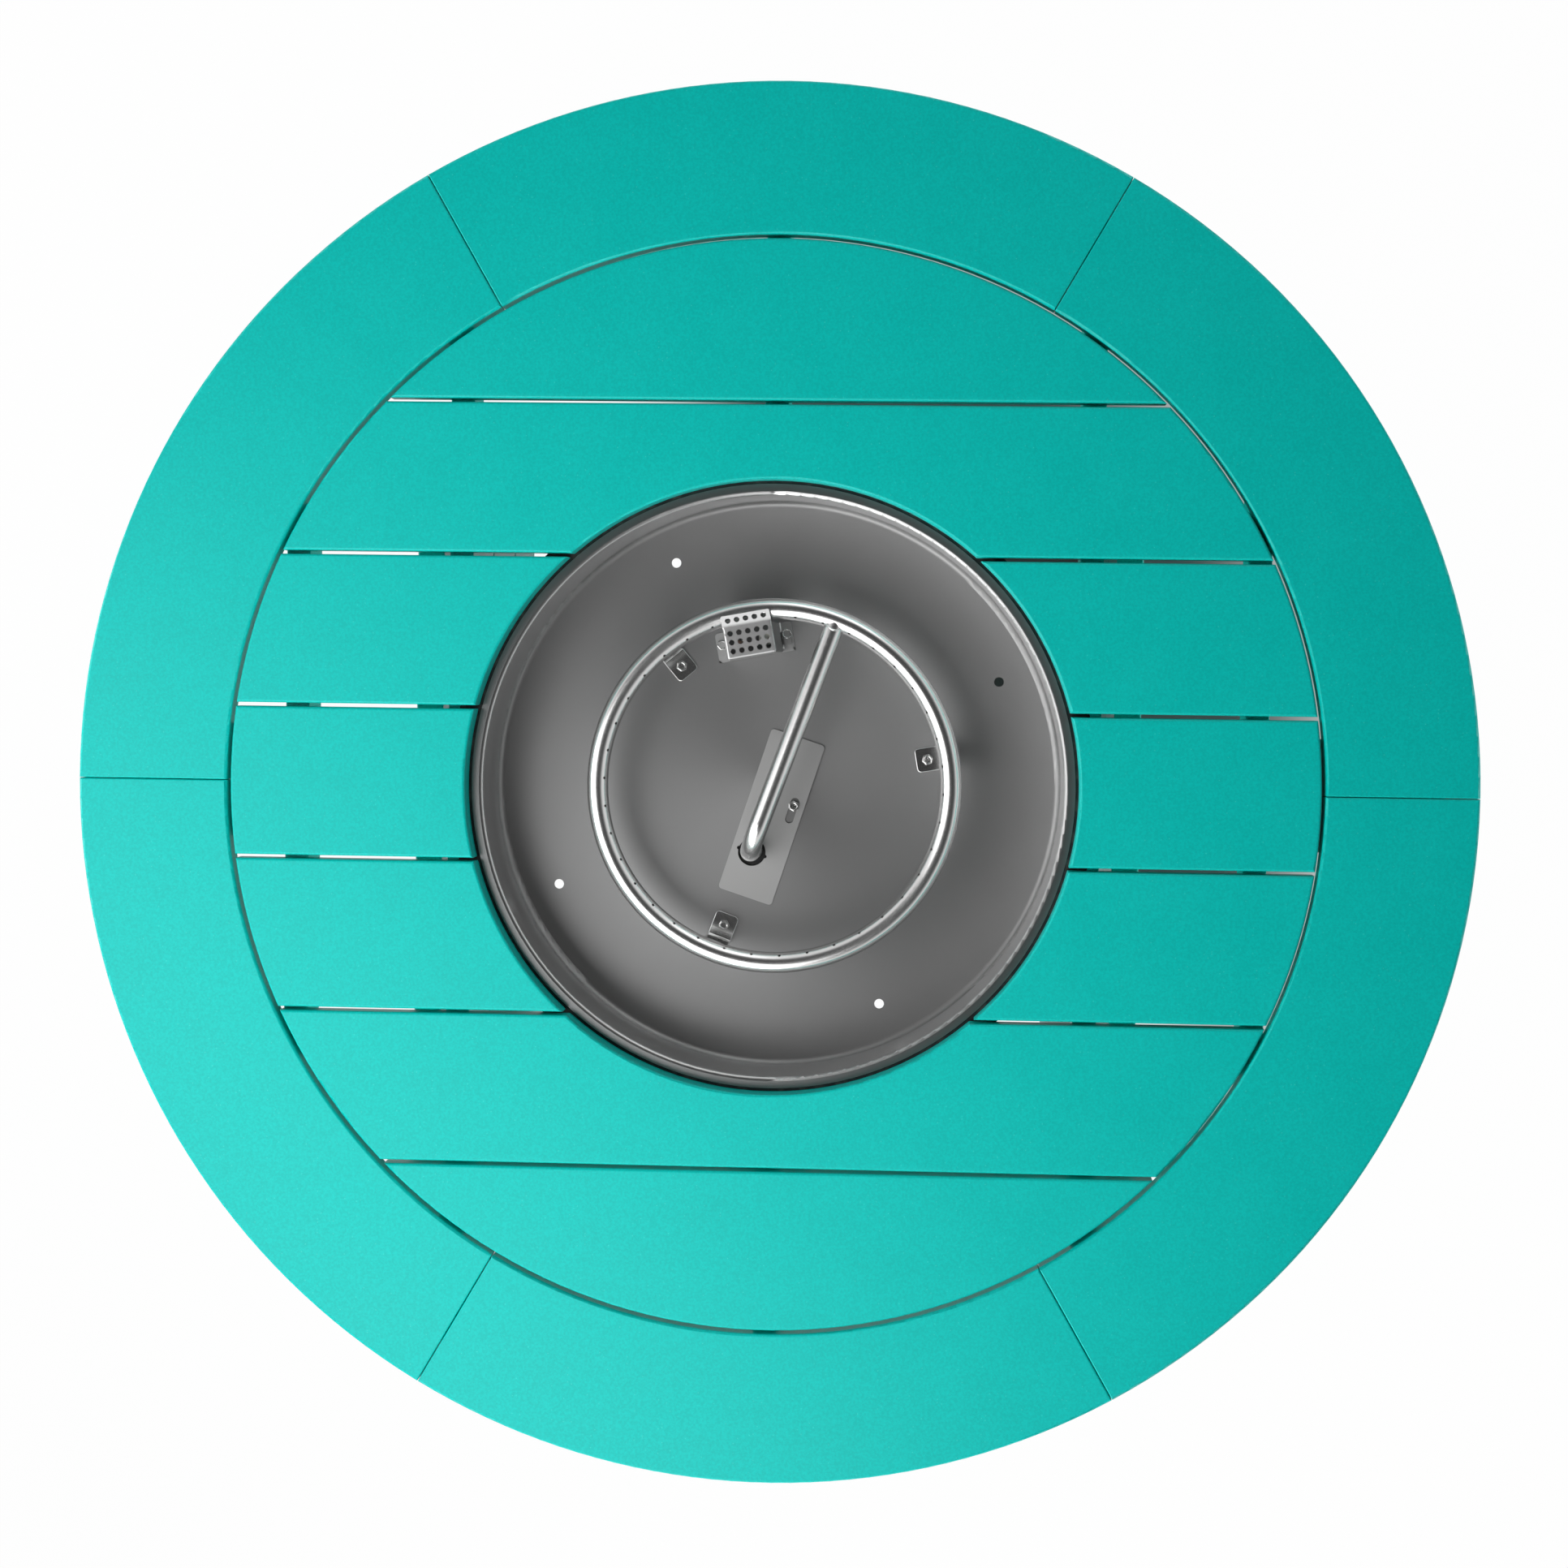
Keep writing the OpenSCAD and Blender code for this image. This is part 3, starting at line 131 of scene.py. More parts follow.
class FirePitBurner(PropertyGroup):
    """Sizes of the burner fittings that are modelled here."""

    cage_length: FloatProperty(
        name="Cage length", description="Length of the pilot cage's top", default=40 * MM, unit="LENGTH")
    cage_depth: FloatProperty(
        name="Cage depth", description="Depth of the pilot cage's top", default=27 * MM, unit="LENGTH")
    cage_height: FloatProperty(
        name="Cage height", description="Height of the pilot cage", default=66 * MM, unit="LENGTH")
    cage_pitch: FloatProperty(
        name="Cage pitch", description="Distance between the cage's holes", default=7.3 * MM, unit="LENGTH")
    cage_hole: FloatProperty(
        name="Cage hole", description="Radius of the cage's holes", default=2.3 * MM, unit="LENGTH")
    cage_tab: FloatProperty(
        name="Cage tab", description="Length of the cage's screw tabs", default=9.8 * MM, unit="LENGTH")
    cage_sheet: FloatProperty(
        name="Cage sheet", description="Thickness of the cage's sheet", default=1.2 * MM, unit="LENGTH")
    cage_lip: FloatProperty(
        name="Cage lip", description="Half the width of the cage's raised lip", default=4.5 * MM,
        unit="LENGTH")
    cage_rise: FloatProperty(
        name="Cage rise", description="Slope of the cage's raised lip", default=math.radians(21),
        subtype="ANGLE")
    bracket_foot: FloatProperty(
        name="Bracket foot", description="Length of a ring bracket's foot", default=23 * MM, unit="LENGTH")
    bracket_width: FloatProperty(
        name="Bracket width", description="Width of a ring bracket", default=20 * MM, unit="LENGTH")
    bracket_sheet: FloatProperty(
        name="Bracket sheet", description="Thickness of a ring bracket", default=2 * MM, unit="LENGTH")
    plate_length: FloatProperty(
        name="Plate length", description="Length of the feed plate", default=140 * MM, unit="LENGTH")
    plate_width: FloatProperty(
        name="Plate width", description="Width of the feed plate", default=46.7 * MM, unit="LENGTH")
    plate_hole: FloatProperty(
        name="Plate hole", description="Radius of the feed plate's hole", default=11.5 * MM, unit="LENGTH")
    plate_slot: FloatProperty(
        name="Plate slot", description="Radius of the feed plate's slot ends", default=3.5 * MM,
        unit="LENGTH")
    head: FloatProperty(
        name="Screw head", description="Height of a hex screw head", default=3.5 * MM, unit="LENGTH")
    shank: FloatProperty(
        name="Screw shank", description="Diameter of a hex screw", default=5 * MM, unit="LENGTH")


class FirePitStudio(PropertyGroup):
    """Camera and light."""

    lens: FloatProperty(
        name="Lens", description="Focal length on a 36 mm sensor", default=66.52, min=10, max=300)
    eye: FloatVectorProperty(
        name="Eye", description="Camera place over the middle of the table top",
        default=(0.1441, 0.0908, 2.3), subtype="TRANSLATION", unit="LENGTH")
    tilt: FloatVectorProperty(
        name="Tilt", description="Camera turn from looking straight down",
        default=[math.radians(a) for a in (-2.12524, 3.34201, 0.77638)], subtype="EULER", unit="ROTATION")
    key_place: FloatVectorProperty(
        name="Key place", description="Middle of the soft box at the left", default=(-0.58, -0.475, 1.70),
        subtype="TRANSLATION", unit="LENGTH")
    key_aim: FloatVectorProperty(
        name="Key aim", description="Point that the soft box at the left faces", default=(0, 0, 1.54),
        subtype="TRANSLATION", unit="LENGTH")
    low_place: FloatVectorProperty(
        name="Low place", description="Middle of the front one of the soft boxes below the table top",
        default=(0.3, -2.4, 0.33), subtype="TRANSLATION", unit="LENGTH")
    back_place: FloatVectorProperty(
        name="Back place", description="Middle of the soft box at the back", default=(0.5, 1.9, 1.7),
        subtype="TRANSLATION", unit="LENGTH")
    key: FloatProperty(
        name="Key light", description="Power of the soft box at the left", default=28, unit="POWER")
    back: FloatProperty(
        name="Back light", description="Power of the soft box at the back", default=5, unit="POWER")
    low: FloatProperty(
        name="Low light", description="Power of each soft box below the table top", default=14, unit="POWER")
    zenith: FloatProperty(
        name="Sky overhead", description="Light from straight above", default=0.05, min=0, max=2)
    horizon: FloatProperty(
        name="Sky at the side", description="Light from the side", default=0.70, min=0, max=2)
    backdrop: FloatProperty(
        name="Backdrop", description="How bright the backdrop shows in polished metal", default=0.85,
        min=0, max=1)
    floor: FloatProperty(
        name="Floor tone", description="Grey of the pale floor", default=0.86, min=0, max=1)
    # Grey of the painted shadow on the floor under the table's back right
    shade: FloatProperty(
        name="Shade tone", description="Grey of the floor in the table's shade", default=0.20, min=0, max=1)


class FirePitSettings(PropertyGroup):
    """All settings of the fire pit table."""

    boards: PointerProperty(type=FirePitBoards)
    steel: PointerProperty(type=FirePitSteel)
    burner: PointerProperty(type=FirePitBurner)
    studio: PointerProperty(type=FirePitStudio)


# Shader maths


class Value:
    """A number socket that takes part in Python arithmetic."""

    def __init__(self, finish, socket):
        self.finish = finish
        self.socket = socket

    def _math(self, operation, first, second):
        node = self.finish.node("ShaderNodeMath", {"operation": operation}, {0: first, 1: second})
        return Value(self.finish, node.outputs[0])

    def __add__(self, other):
        return self._math("ADD", self, other)

    def __radd__(self, other):
        return self._math("ADD", other, self)

    def __sub__(self, other):
        return self._math("SUBTRACT", self, other)

    def __rsub__(self, other):
        return self._math("SUBTRACT", other, self)

    def __mul__(self, other):
        return self._math("MULTIPLY", self, other)

    def __rmul__(self, other):
        return self._math("MULTIPLY", other, self)

    def __pow__(self, other):
        return self._math("POWER", self, other)

    def between(self, low, high):
        """0 at low and 1 at high, with soft ends."""
        node = self.finish.node(
            "ShaderNodeMapRange", {"interpolation_type": "SMOOTHSTEP"},
            {"Value": self, "From Min": low, "From Max": high})
        return Value(self.finish, node.outputs[0])


class Finish:
    """A node tree under construction: one method adds any node, the rest name what this object needs."""

    def __init__(self, tree):
        self.tree = tree
        self.tree.nodes.clear()

    def join(self, value, socket):
        """Gives a socket its value or link."""
        if isinstance(value, Value):
            self.tree.links.new(value.socket, socket)
        elif isinstance(value, bpy.types.NodeSocket):
            self.tree.links.new(value, socket)
        else:
            socket.default_value = value

    def node(self, kind, settings=None, inputs=None):
        """Adds a node, sets it, then gives its sockets their values or links."""
        node = self.tree.nodes.new(kind)
        for name, value in (settings or {}).items():
            setattr(node, name, value)
        for name, value in (inputs or {}).items():
            self.join(value, node.inputs[name])
        return node

    def place(self, stretch=(1, 1, 1), turn=0.0):
        """Object coordinates in metres, stretched and turned about Z."""
        coordinates = self.node("ShaderNodeTexCoord").outputs["Object"]
        return self.node(
            "ShaderNodeMapping", {"vector_type": "POINT"},
            {"Vector": coordinates, "Scale": stretch, "Rotation": (0, 0, turn)}).outputs[0]

    def noise(self, size, detail=2.0, roughness=0.5, place=None):
        """Soft noise with blotches of about the given size."""
        node = self.node(
            "ShaderNodeTexNoise", {"noise_dimensions": "3D"},
            {"Vector": place or self.place(), "Scale": 1 / size, "Detail": detail, "Roughness": roughness})
        return Value(self, node.outputs["Fac"])

    def cells(self, size):
        """Distance from the middle of the nearest cell, and the cell's own random number."""
        node = self.node(
            "ShaderNodeTexVoronoi", {"feature": "F1"}, {"Vector": self.place(), "Scale": 1 / size})
        split = self.node("ShaderNodeSeparateColor", inputs={"Color": node.outputs["Color"]})
        return Value(self, node.outputs["Distance"]), Value(self, split.outputs[0])

    def mix(self, factor, first, second):
        """A colour between two colours."""
        first, second = (c if isinstance(c, bpy.types.NodeSocket) else (*c, 1) for c in (first, second))
        node = self.node(
            "ShaderNodeMix", {"data_type": "RGBA", "blend_type": "MIX"}, {0: factor, 6: first, 7: second})
        return node.outputs[2]

    def bump(self, height, depth):
        """A normal from a height of 0 to 1 over the given depth in metres."""
        return self.node(
            "ShaderNodeBump", inputs={"Height": height, "Distance": depth, "Strength": 1.0}).outputs[0]

    def surface(self, **sockets):
        """The principled shader and the output; socket names have underscores for spaces."""
        inputs = {}
        for name, value in sockets.items():
            plain = isinstance(value, tuple) and len(value) == 3
            inputs[name.replace("_", " ")] = (*value, 1) if plain else value
        shader = self.node("ShaderNodeBsdfPrincipled", inputs=inputs)
        self.node("ShaderNodeOutputMaterial", inputs={"Surface": shader.outputs[0]})


def new_finish(name):
    """An empty node material and its tree."""
    material = bpy.data.materials.new(name)
    material.use_nodes = True
    return material, Finish(material.node_tree)


def settings():
    """The scene's own settings."""
    return bpy.context.scene.fire_pit


def turquoise_board():
    """Moulded board: a fine leathery grain, pale flecks and a soft matt sheen."""
    made, tree = new_finish("turquoise_board_finish")
    look = settings().boards
    grain = tree.noise(look.grain, detail=3.0, roughness=0.6)
    cloud = tree.noise(45 * MM, detail=2.0)
    distance, chance = tree.cells(3.2 * MM)
    fleck = (1 - distance.between(0.05, 0.22)) * chance.between(0.80, 0.86)
    base = tree.mix(0.7 * grain.between(0.3, 0.7) + 0.3 * cloud, tuple(look.deep), tuple(look.light))
    tree.surface(
        Base_Color=tree.mix(fleck * 0.45, base, tuple(look.fleck)),
        Roughness=look.roughness + 0.10 * cloud - 0.06 * fleck,
        Specular_IOR_Level=0.25,
        Normal=tree.bump(grain * 0.8 + 0.5 * fleck, 0.05 * MM))
    return made


def steel(name, colour, roughness, streak=0.05, depth=0.004, turn=0.0, spun=0.0, wall=None):
    """Metal with fine rolling streaks and faint stains; the pan is spun, and its wall gets a paler colour
    than its floor as painted light.
    """
    made, tree = new_finish(name)
    streaks = tree.noise(0.9 * MM, detail=3.0, roughness=0.6, place=tree.place((0.02, 1, 0.3), turn))
    stain = tree.noise(60 * MM, detail=3.0, roughness=0.5)
    tint = tree.mix(stain.between(0.3, 0.75), tuple(c * 0.97 for c in colour), tuple(colour))
    dull = roughness + streak * (streaks - 0.5) + 0.015 * (stain - 0.5)
    # Painted light: the band from the floor bend up to the flange gets the paler wall colour, while the
    # floor and flange keep the darker sheet colour
    if wall:
        height = Value(tree, tree.node("ShaderNodeSeparateXYZ", inputs={0: tree.place()}).outputs["Z"])
        risen = height.between(PAN_LOW.z + 2 * MM, PAN_LOW.z + 7 * MM)
        flange = height.between(PAN_HIGH.z - 1.4 * MM, PAN_HIGH.z - 0.5 * MM)
        tint = tree.mix(risen * (1 - flange), tint, tuple(wall))
        dull = dull - 0.12 * risen
    tree.surface(
        Base_Color=tint,
        Metallic=1.0,
        Anisotropic=spun,
        Anisotropic_Rotation=0.25,
        Roughness=dull,
        Normal=tree.bump(streaks, depth * MM))
    return made


def black_polymer(name, roughness, grain=0.5 * MM, tone=0.012):
    """Dark moulded plastic or rubber with a spark-eroded grain."""
    made, tree = new_finish(name)
    grains = tree.noise(grain, detail=2.0)
    dust = tree.noise(14 * MM, detail=3.0)
    tree.surface(
        Base_Color=tree.mix(dust, (tone, tone, tone * 1.05), (tone * 1.9, tone * 1.9, tone * 1.9)),
        Roughness=roughness + 0.12 * (dust - 0.5),
        Normal=tree.bump(grains, 0.03 * MM))
    return made


def cast_iron(name):
    """Black painted malleable iron with a sandy skin."""
    made, tree = new_finish(name)
    sand = tree.noise(0.8 * MM, detail=3.0)
    wear = tree.noise(9 * MM, detail=4.0)
    tree.surface(
        Base_Color=tree.mix(wear.between(0.45, 0.7), (0.020, 0.020, 0.021), (0.055, 0.053, 0.05)),
        Metallic=0.6,
        Roughness=0.5 + 0.2 * (wear - 0.5),
        Normal=tree.bump(sand, 0.06 * MM))
    return made


def white_ceramic(name):
    """Glazed insulator with a faint warm mottle."""
    made, tree = new_finish(name)
    mottle = tree.noise(4 * MM, detail=2.0)
    tree.surface(
        Base_Color=tree.mix(mottle, (0.80, 0.76, 0.68), (0.88, 0.86, 0.80)),
        Roughness=0.22 + 0.1 * mottle,
        Normal=tree.bump(mottle, 0.02 * MM))
    return made


# The finish of each material slot of the record


def make_finishes():
    """One material for each of the record's slots."""
    look = settings().steel
    plate = (0.48, 0.48, 0.478)
    hardware = (0.62, 0.62, 0.61)
    brass = (0.78, 0.57, 0.25)
    copper = (0.72, 0.45, 0.34)
    return {
        "turquoise_board": turquoise_board(),
        "pan_steel": steel("pan_steel_finish", look.sheet, look.sheet_roughness, spun=0.4, wall=look.wall),
        "plate_steel": steel("plate_steel_finish", plate, 0.40, turn=math.radians(20)),
        "polished_steel": steel("polished_steel_finish", look.tube, 0.14, streak=0.04, depth=0.001),
        "tube_steel": steel("tube_steel_finish", look.tube, look.tube_roughness, streak=0.04, depth=0.001),
        "hardware_steel": steel("hardware_steel_finish", hardware, 0.30),
        "black_iron": cast_iron("black_iron_finish"),
        "brass": steel("brass_finish", brass, 0.24, streak=0.06),
        "probe_copper": steel("probe_copper_finish", copper, 0.30),
        "ceramic": white_ceramic("ceramic_finish"),
        "black_rubber": black_polymer("black_rubber_finish", 0.62),
        "black_plastic": black_polymer("black_plastic_finish", 0.36),
    }


FINISHES = {}


def finish_of(slot):
    """The material of one of the record's slots."""
    if not FINISHES:
        FINISHES.update(make_finishes())
    return FINISHES[slot]


# Modelling by hand


def begin(add, name, scale=(1, 1, 1), **start):
    """Adds one primitive alone, puts its size and place into its mesh and opens it for editing."""
    bpy.ops.object.select_all(action="DESELECT")
    add(**start)
    piece = bpy.context.object
    piece.name = name
    piece.scale = scale
    bpy.ops.object.transform_apply(location=True, rotation=True, scale=True)
    bpy.ops.object.mode_set(mode="EDIT")
    return piece


def choose(kind, test):
    """Selects only those vertices, edges or faces of the open piece whose middle passes the test."""
    bpy.ops.mesh.select_mode(type=kind)
    bpy.ops.mesh.select_all(action="DESELECT")
    shape = bmesh.from_edit_mesh(bpy.context.object.data)
    for item in {"VERT": shape.verts, "EDGE": shape.edges, "FACE": shape.faces}[kind]:
        if kind == "VERT":
            middle = item.co
        elif kind == "EDGE":
            middle = (item.verts[0].co + item.verts[1].co) / 2
        else:
            middle = item.calc_center_median()
        item.select_set(bool(test(middle)))
    shape.select_flush_mode()
    bmesh.update_edit_mesh(bpy.context.object.data)


def end_face(height):
    """Selects only the open piece's face round the Z axis at a height."""
    choose("FACE", lambda c: abs(c.z - height) < TINY and c.xy.length < ON_AXIS)


def extrude(offset):
    """Extrudes what is selected of the open piece."""
    bpy.ops.mesh.extrude_region_move(TRANSFORM_OT_translate={"value": offset})


def round_off(kind, test, **bevel):
    """Bevels those edges or corners of the open piece that pass the test."""
    choose(kind, test)
    bpy.ops.mesh.bevel(affect={"EDGE": "EDGES", "VERT": "VERTICES"}[kind], **bevel)


def round_sharp(sharpness, **bevel):
    """Bevels every edge of the open piece that is sharper than an angle in degrees."""
    bpy.ops.mesh.select_all(action="DESELECT")
    bpy.ops.mesh.select_mode(type="EDGE")
    bpy.ops.mesh.edges_select_sharp(sharpness=math.radians(sharpness))
    bpy.ops.mesh.bevel(affect="EDGES", **bevel)


def rod(name, sides, radius, length):
    """Opens a cylinder that stands on the origin."""
    return begin(
        bpy.ops.mesh.primitive_cylinder_add, name, vertices=sides, radius=radius, depth=length,
        location=(0, 0, length / 2))


def pick(piece):
    """Selects one piece alone and makes it the active one."""
    bpy.ops.object.select_all(action="DESELECT")
    piece.select_set(True)
    bpy.context.view_layer.objects.active = piece


def modify(piece, kind, **values):
    """Adds a modifier and applies it."""
    bpy.context.view_layer.objects.active = piece
    modifier = piece.modifiers.new(kind.title(), kind)
    for name, value in values.items():
        setattr(modifier, name, value)
    bpy.ops.object.modifier_apply(modifier=modifier.name)


def thicken(piece, sheet, side, test):
    """Gives a bent sheet its thickness, above (1) or below (-1) those faces whose middle passes the test."""
    up = sum(face.normal.z for face in piece.data.polygons if test(face.center)) > 0
    modify(piece, "SOLIDIFY", thickness=sheet, offset=side if up else -side)


def cut(piece, cutter):
    """Takes a cutter's shape out of a piece and deletes the cutter."""
    modify(piece, "BOOLEAN", object=cutter, operation="DIFFERENCE", solver="EXACT")
    bpy.data.objects.remove(cutter)


def merge(threshold=DOUBLES):
    """Merges the open piece's doubles and turns its faces outwards."""
    bpy.ops.mesh.select_all(action="SELECT")
    bpy.ops.mesh.remove_doubles(threshold=threshold)
    bpy.ops.mesh.normals_make_consistent(inside=False)


def close(piece):
    """Merges doubles, turns faces outwards and leaves edit mode."""
    merge()
    bpy.ops.object.mode_set(mode="OBJECT")
    return piece


def copies(piece, matrices):
    """Replaces a piece by copies of it, each with its own mesh, joined to one object."""
    made = []
    for matrix in matrices:
        copy = piece.copy()
        copy.data = piece.data.copy()
        copy.data.transform(matrix)
        bpy.context.scene.collection.objects.link(copy)
        made.append(copy)
    name = piece.name
    bpy.data.objects.remove(piece)
    return join(made, name)


def join(pieces, name):
    """Joins pieces to one object."""
    bpy.ops.object.select_all(action="DESELECT")
    for piece in pieces:
        piece.select_set(True)
    bpy.context.view_layer.objects.active = pieces[0]
    if len(pieces) > 1:
        bpy.ops.object.join()
    pieces[0].name = name
    return pieces[0]


def finish_piece(piece, body, slot, replaced=(), angle=35):
    """Smooths a piece but for its large faces, gives it its slot's material and lets it ride on its body."""
    pick(piece)
    bpy.ops.object.shade_smooth_by_angle(angle=math.radians(angle))
    modify(piece, "WEIGHTED_NORMAL", keep_sharp=True, weight=100)
    piece.data.materials.clear()
    piece.data.materials.append(finish_of(slot))
    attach(piece, body)
    if replaced:
        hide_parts(*replaced)
    return piece


def solids(node):
    """Boxes of a node's separate solids, lowest and highest corner, in a steady order."""
    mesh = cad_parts[node].data
    owner = list(range(len(mesh.vertices)))

    def root(index):
        while owner[index] != index:
            owner[index] = owner[owner[index]]
            index = owner[index]
        return index

    first_at = {}
    for vertex in mesh.vertices:
        place = tuple(round(c, 6) for c in vertex.co)
        owner[root(vertex.index)] = root(first_at.setdefault(place, vertex.index))
    for face in mesh.polygons:
        for index in face.vertices[1:]:
            owner[root(index)] = root(face.vertices[0])
    boxes = {}
    for vertex in mesh.vertices:
        low, high = boxes.setdefault(root(vertex.index), (vertex.co.copy(), vertex.co.copy()))
        low[:] = map(min, low, vertex.co)
        high[:] = map(max, high, vertex.co)
    return sorted(boxes.values(), key=lambda box: tuple(box[0]))


def middles(node):
    """Middles of a node's separate solids, in the same order."""
    return [(low + high) / 2 for low, high in solids(node)]


def soften(piece, width, segments=2):
    """Bevels every sharp edge of a piece a little."""
    pick(piece)
    bpy.ops.object.mode_set(mode="EDIT")
    merge()
    round_sharp(50, offset=width, segments=segments, clamp_overlap=True)
    return close(piece)


def on_grid(place, pitch):
    """Whether a point lies on a square grid of the given pitch."""
    return all(abs(c / pitch - round(c / pitch)) < 0.02 for c in (place.x, place.y))


def hexagon():
    """Flattens the sides of the open 24-sided cylinder between its six corners."""
    flat = math.cos(math.radians(30))
    for angles, factor in (((15, 45), flat / math.cos(math.radians(15))), ((30,), flat)):
        choose("VERT", lambda c: round(math.degrees(math.atan2(c.y, c.x))) % 60 in angles)
        bpy.ops.transform.resize(value=(factor, factor, 1), center_override=(0, 0, 0))


def bracket_angles():
    """Angles at which the frame has its ring brackets."""
    return [math.atan2(middle.y, middle.x) for middle in middles("ring_brackets")]


def cage_place():
    """Matrix from the cage's own frame to the table: 1 mm before its two screws, X along the ring."""
    pair = sorted(middles("burner_screws"), key=lambda middle: middle.y)[-2:]
    left, right = sorted(pair, key=lambda middle: middle.x)
    along = right - left
    middle = (left + right) / 2
    place = Matrix.Translation((middle.x, middle.y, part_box("pilot_cage")[0].z))
    turn = Matrix.Rotation(math.atan2(along.y, along.x), 4, "Z")
    return place @ turn @ Matrix.Translation((0, -1 * MM, 0))


# Operators


class FIREPIT_OT_studio(Operator):
    """Stands the table on a pale floor under soft light, seen as in the photograph"""

    bl_idname = "firepit.studio"
    bl_label = "Studio"

    def execute(self, context):
        look = settings().studio
        self.camera(context, look)
        self.floor(look)
        self.sky(context, look)
        top = Vector((0, 0, TABLE_TOP))
        self.lamp("key_lamp", Vector(look.key_place), Vector(look.key_aim), size=(2.0, 1.6), power=look.key)
        self.lamp("back_lamp", Vector(look.back_place), top, size=(1.2, 1.2), power=look.back)
        middle = Vector((0, 0, look.low_place[2]))
        for turn, name in enumerate(("front", "right", "back", "left")):
            place = Matrix.Rotation(math.radians(90 * turn), 3, "Z") @ Vector(look.low_place)
            self.lamp(f"{name}_low_lamp", place, middle, size=(1.6, 0.5), power=look.low)
        context.scene.view_settings.view_transform = "Standard"
        return {"FINISHED"}

    @staticmethod
    def camera(context, look):
        """The photograph's camera."""
        bpy.ops.object.camera_add()
        eye = context.object
        eye.name = "photo_camera"
        eye.data.lens = look.lens
        eye.data.sensor_width = 36
        eye.location = Vector(look.eye) + Vector((0, 0, TABLE_TOP))
        eye.rotation_euler = look.tilt
        context.scene.camera = eye

    @staticmethod
    def floor(look):
        """Pale floor, white to the camera, with a painted shade under the table's back right, and clear from
        below.
        """
        bpy.ops.object.select_all(action="DESELECT")
        bpy.ops.mesh.primitive_plane_add(size=60, location=(0, 0, -0.5 * MM))
        ground = bpy.context.object
        ground.name = "studio_floor"
        material, tree = new_finish("pale_floor_finish")
        white = tree.node("ShaderNodeEmission", inputs={"Color": (1, 1, 1, 1), "Strength": 1.0})
        rays = tree.node("ShaderNodeLightPath")
        seen = Value(tree, rays.outputs["Is Camera Ray"]) + Value(tree, rays.outputs["Is Glossy Ray"])
        seen = seen + Value(tree, rays.outputs["Is Transmission Ray"])
        place = tree.node("ShaderNodeSeparateXYZ", inputs={0: tree.place()})
        x, y = (Value(tree, place.outputs[axis]) for axis in "XY")
        # Painted shade: this mask turns the floor to the dark shade tone under the table's back right
        under = 1 - ((x * x + y * y) ** 0.5).between(*SHADE_REACH)
        shade = under * (SHADE_SIDE[0] * x + SHADE_SIDE[1] * y).between(*SHADE_EDGE)
        pale, dark = (
            tree.node("ShaderNodeBsdfDiffuse", inputs={"Color": (tone, tone, tone, 1)})
            for tone in (look.floor, look.shade))
        clear = tree.node("ShaderNodeBsdfTransparent")
        below = tree.node("ShaderNodeNewGeometry").outputs["Backfacing"]
        shown = pale
        for factor, over in ((shade, dark), (0.985 * seen * (1 - shade), white), (below, clear)):
            shown = tree.node(
                "ShaderNodeMixShader", inputs={0: factor, 1: shown.outputs[0], 2: over.outputs[0]})
        tree.node("ShaderNodeOutputMaterial", inputs={"Surface": shown.outputs[0]})
        ground.data.materials.append(material)

    @staticmethod
    def sky(context, look):
        """White to the camera; to all else light at the sides and dark overhead."""
        world = bpy.data.worlds.new("studio_sky")
        world.use_nodes = True
        tree = Finish(world.node_tree)
        direction = tree.node("ShaderNodeTexCoord").outputs["Generated"]
        height = Value(tree, tree.node("ShaderNodeSeparateXYZ", inputs={0: direction}).outputs["Z"])
        rays = tree.node("ShaderNodeLightPath")
        seen = Value(tree, rays.outputs["Is Camera Ray"])
        mirrored = Value(tree, rays.outputs["Is Glossy Ray"])
        side = look.horizon + (look.backdrop - look.horizon) * mirrored
        backdrop_top = 0.52 * mirrored
        fade = 0.35
        light = side + (look.zenith - side) * (height - backdrop_top).between(0.0, fade)
        strength = light * (1 - seen) + seen
        shown = tree.node("ShaderNodeBackground", inputs={"Color": (1, 1, 1, 1), "Strength": strength})
        tree.node("ShaderNodeOutputWorld", inputs={"Surface": shown.outputs[0]})
        context.scene.world = world

    @staticmethod
    def lamp(name, place, target, size, power):
        """A soft box that faces its target."""
        bpy.ops.object.light_add(type="AREA", location=place)
        lamp = bpy.context.object
        lamp.name = name
        lamp.data.shape = "RECTANGLE"
        lamp.data.size, lamp.data.size_y = size
        lamp.data.energy = power
        lamp.rotation_euler = (target - place).to_track_quat("-Z", "Y").to_euler()


class FIREPIT_OT_finishes(Operator):
    """Gives every CAD node the finish of its slot"""

    bl_idname = "firepit.finishes"
    bl_label = "Finishes"

    def execute(self, context):
        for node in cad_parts.values():
            for slot in node.material_slots:
                name = slot.material.name.split(".")[0]
                slot.link = "OBJECT"
                slot.material = finish_of("tube_steel" if node.name in TUBES else name)
        return {"FINISHED"}


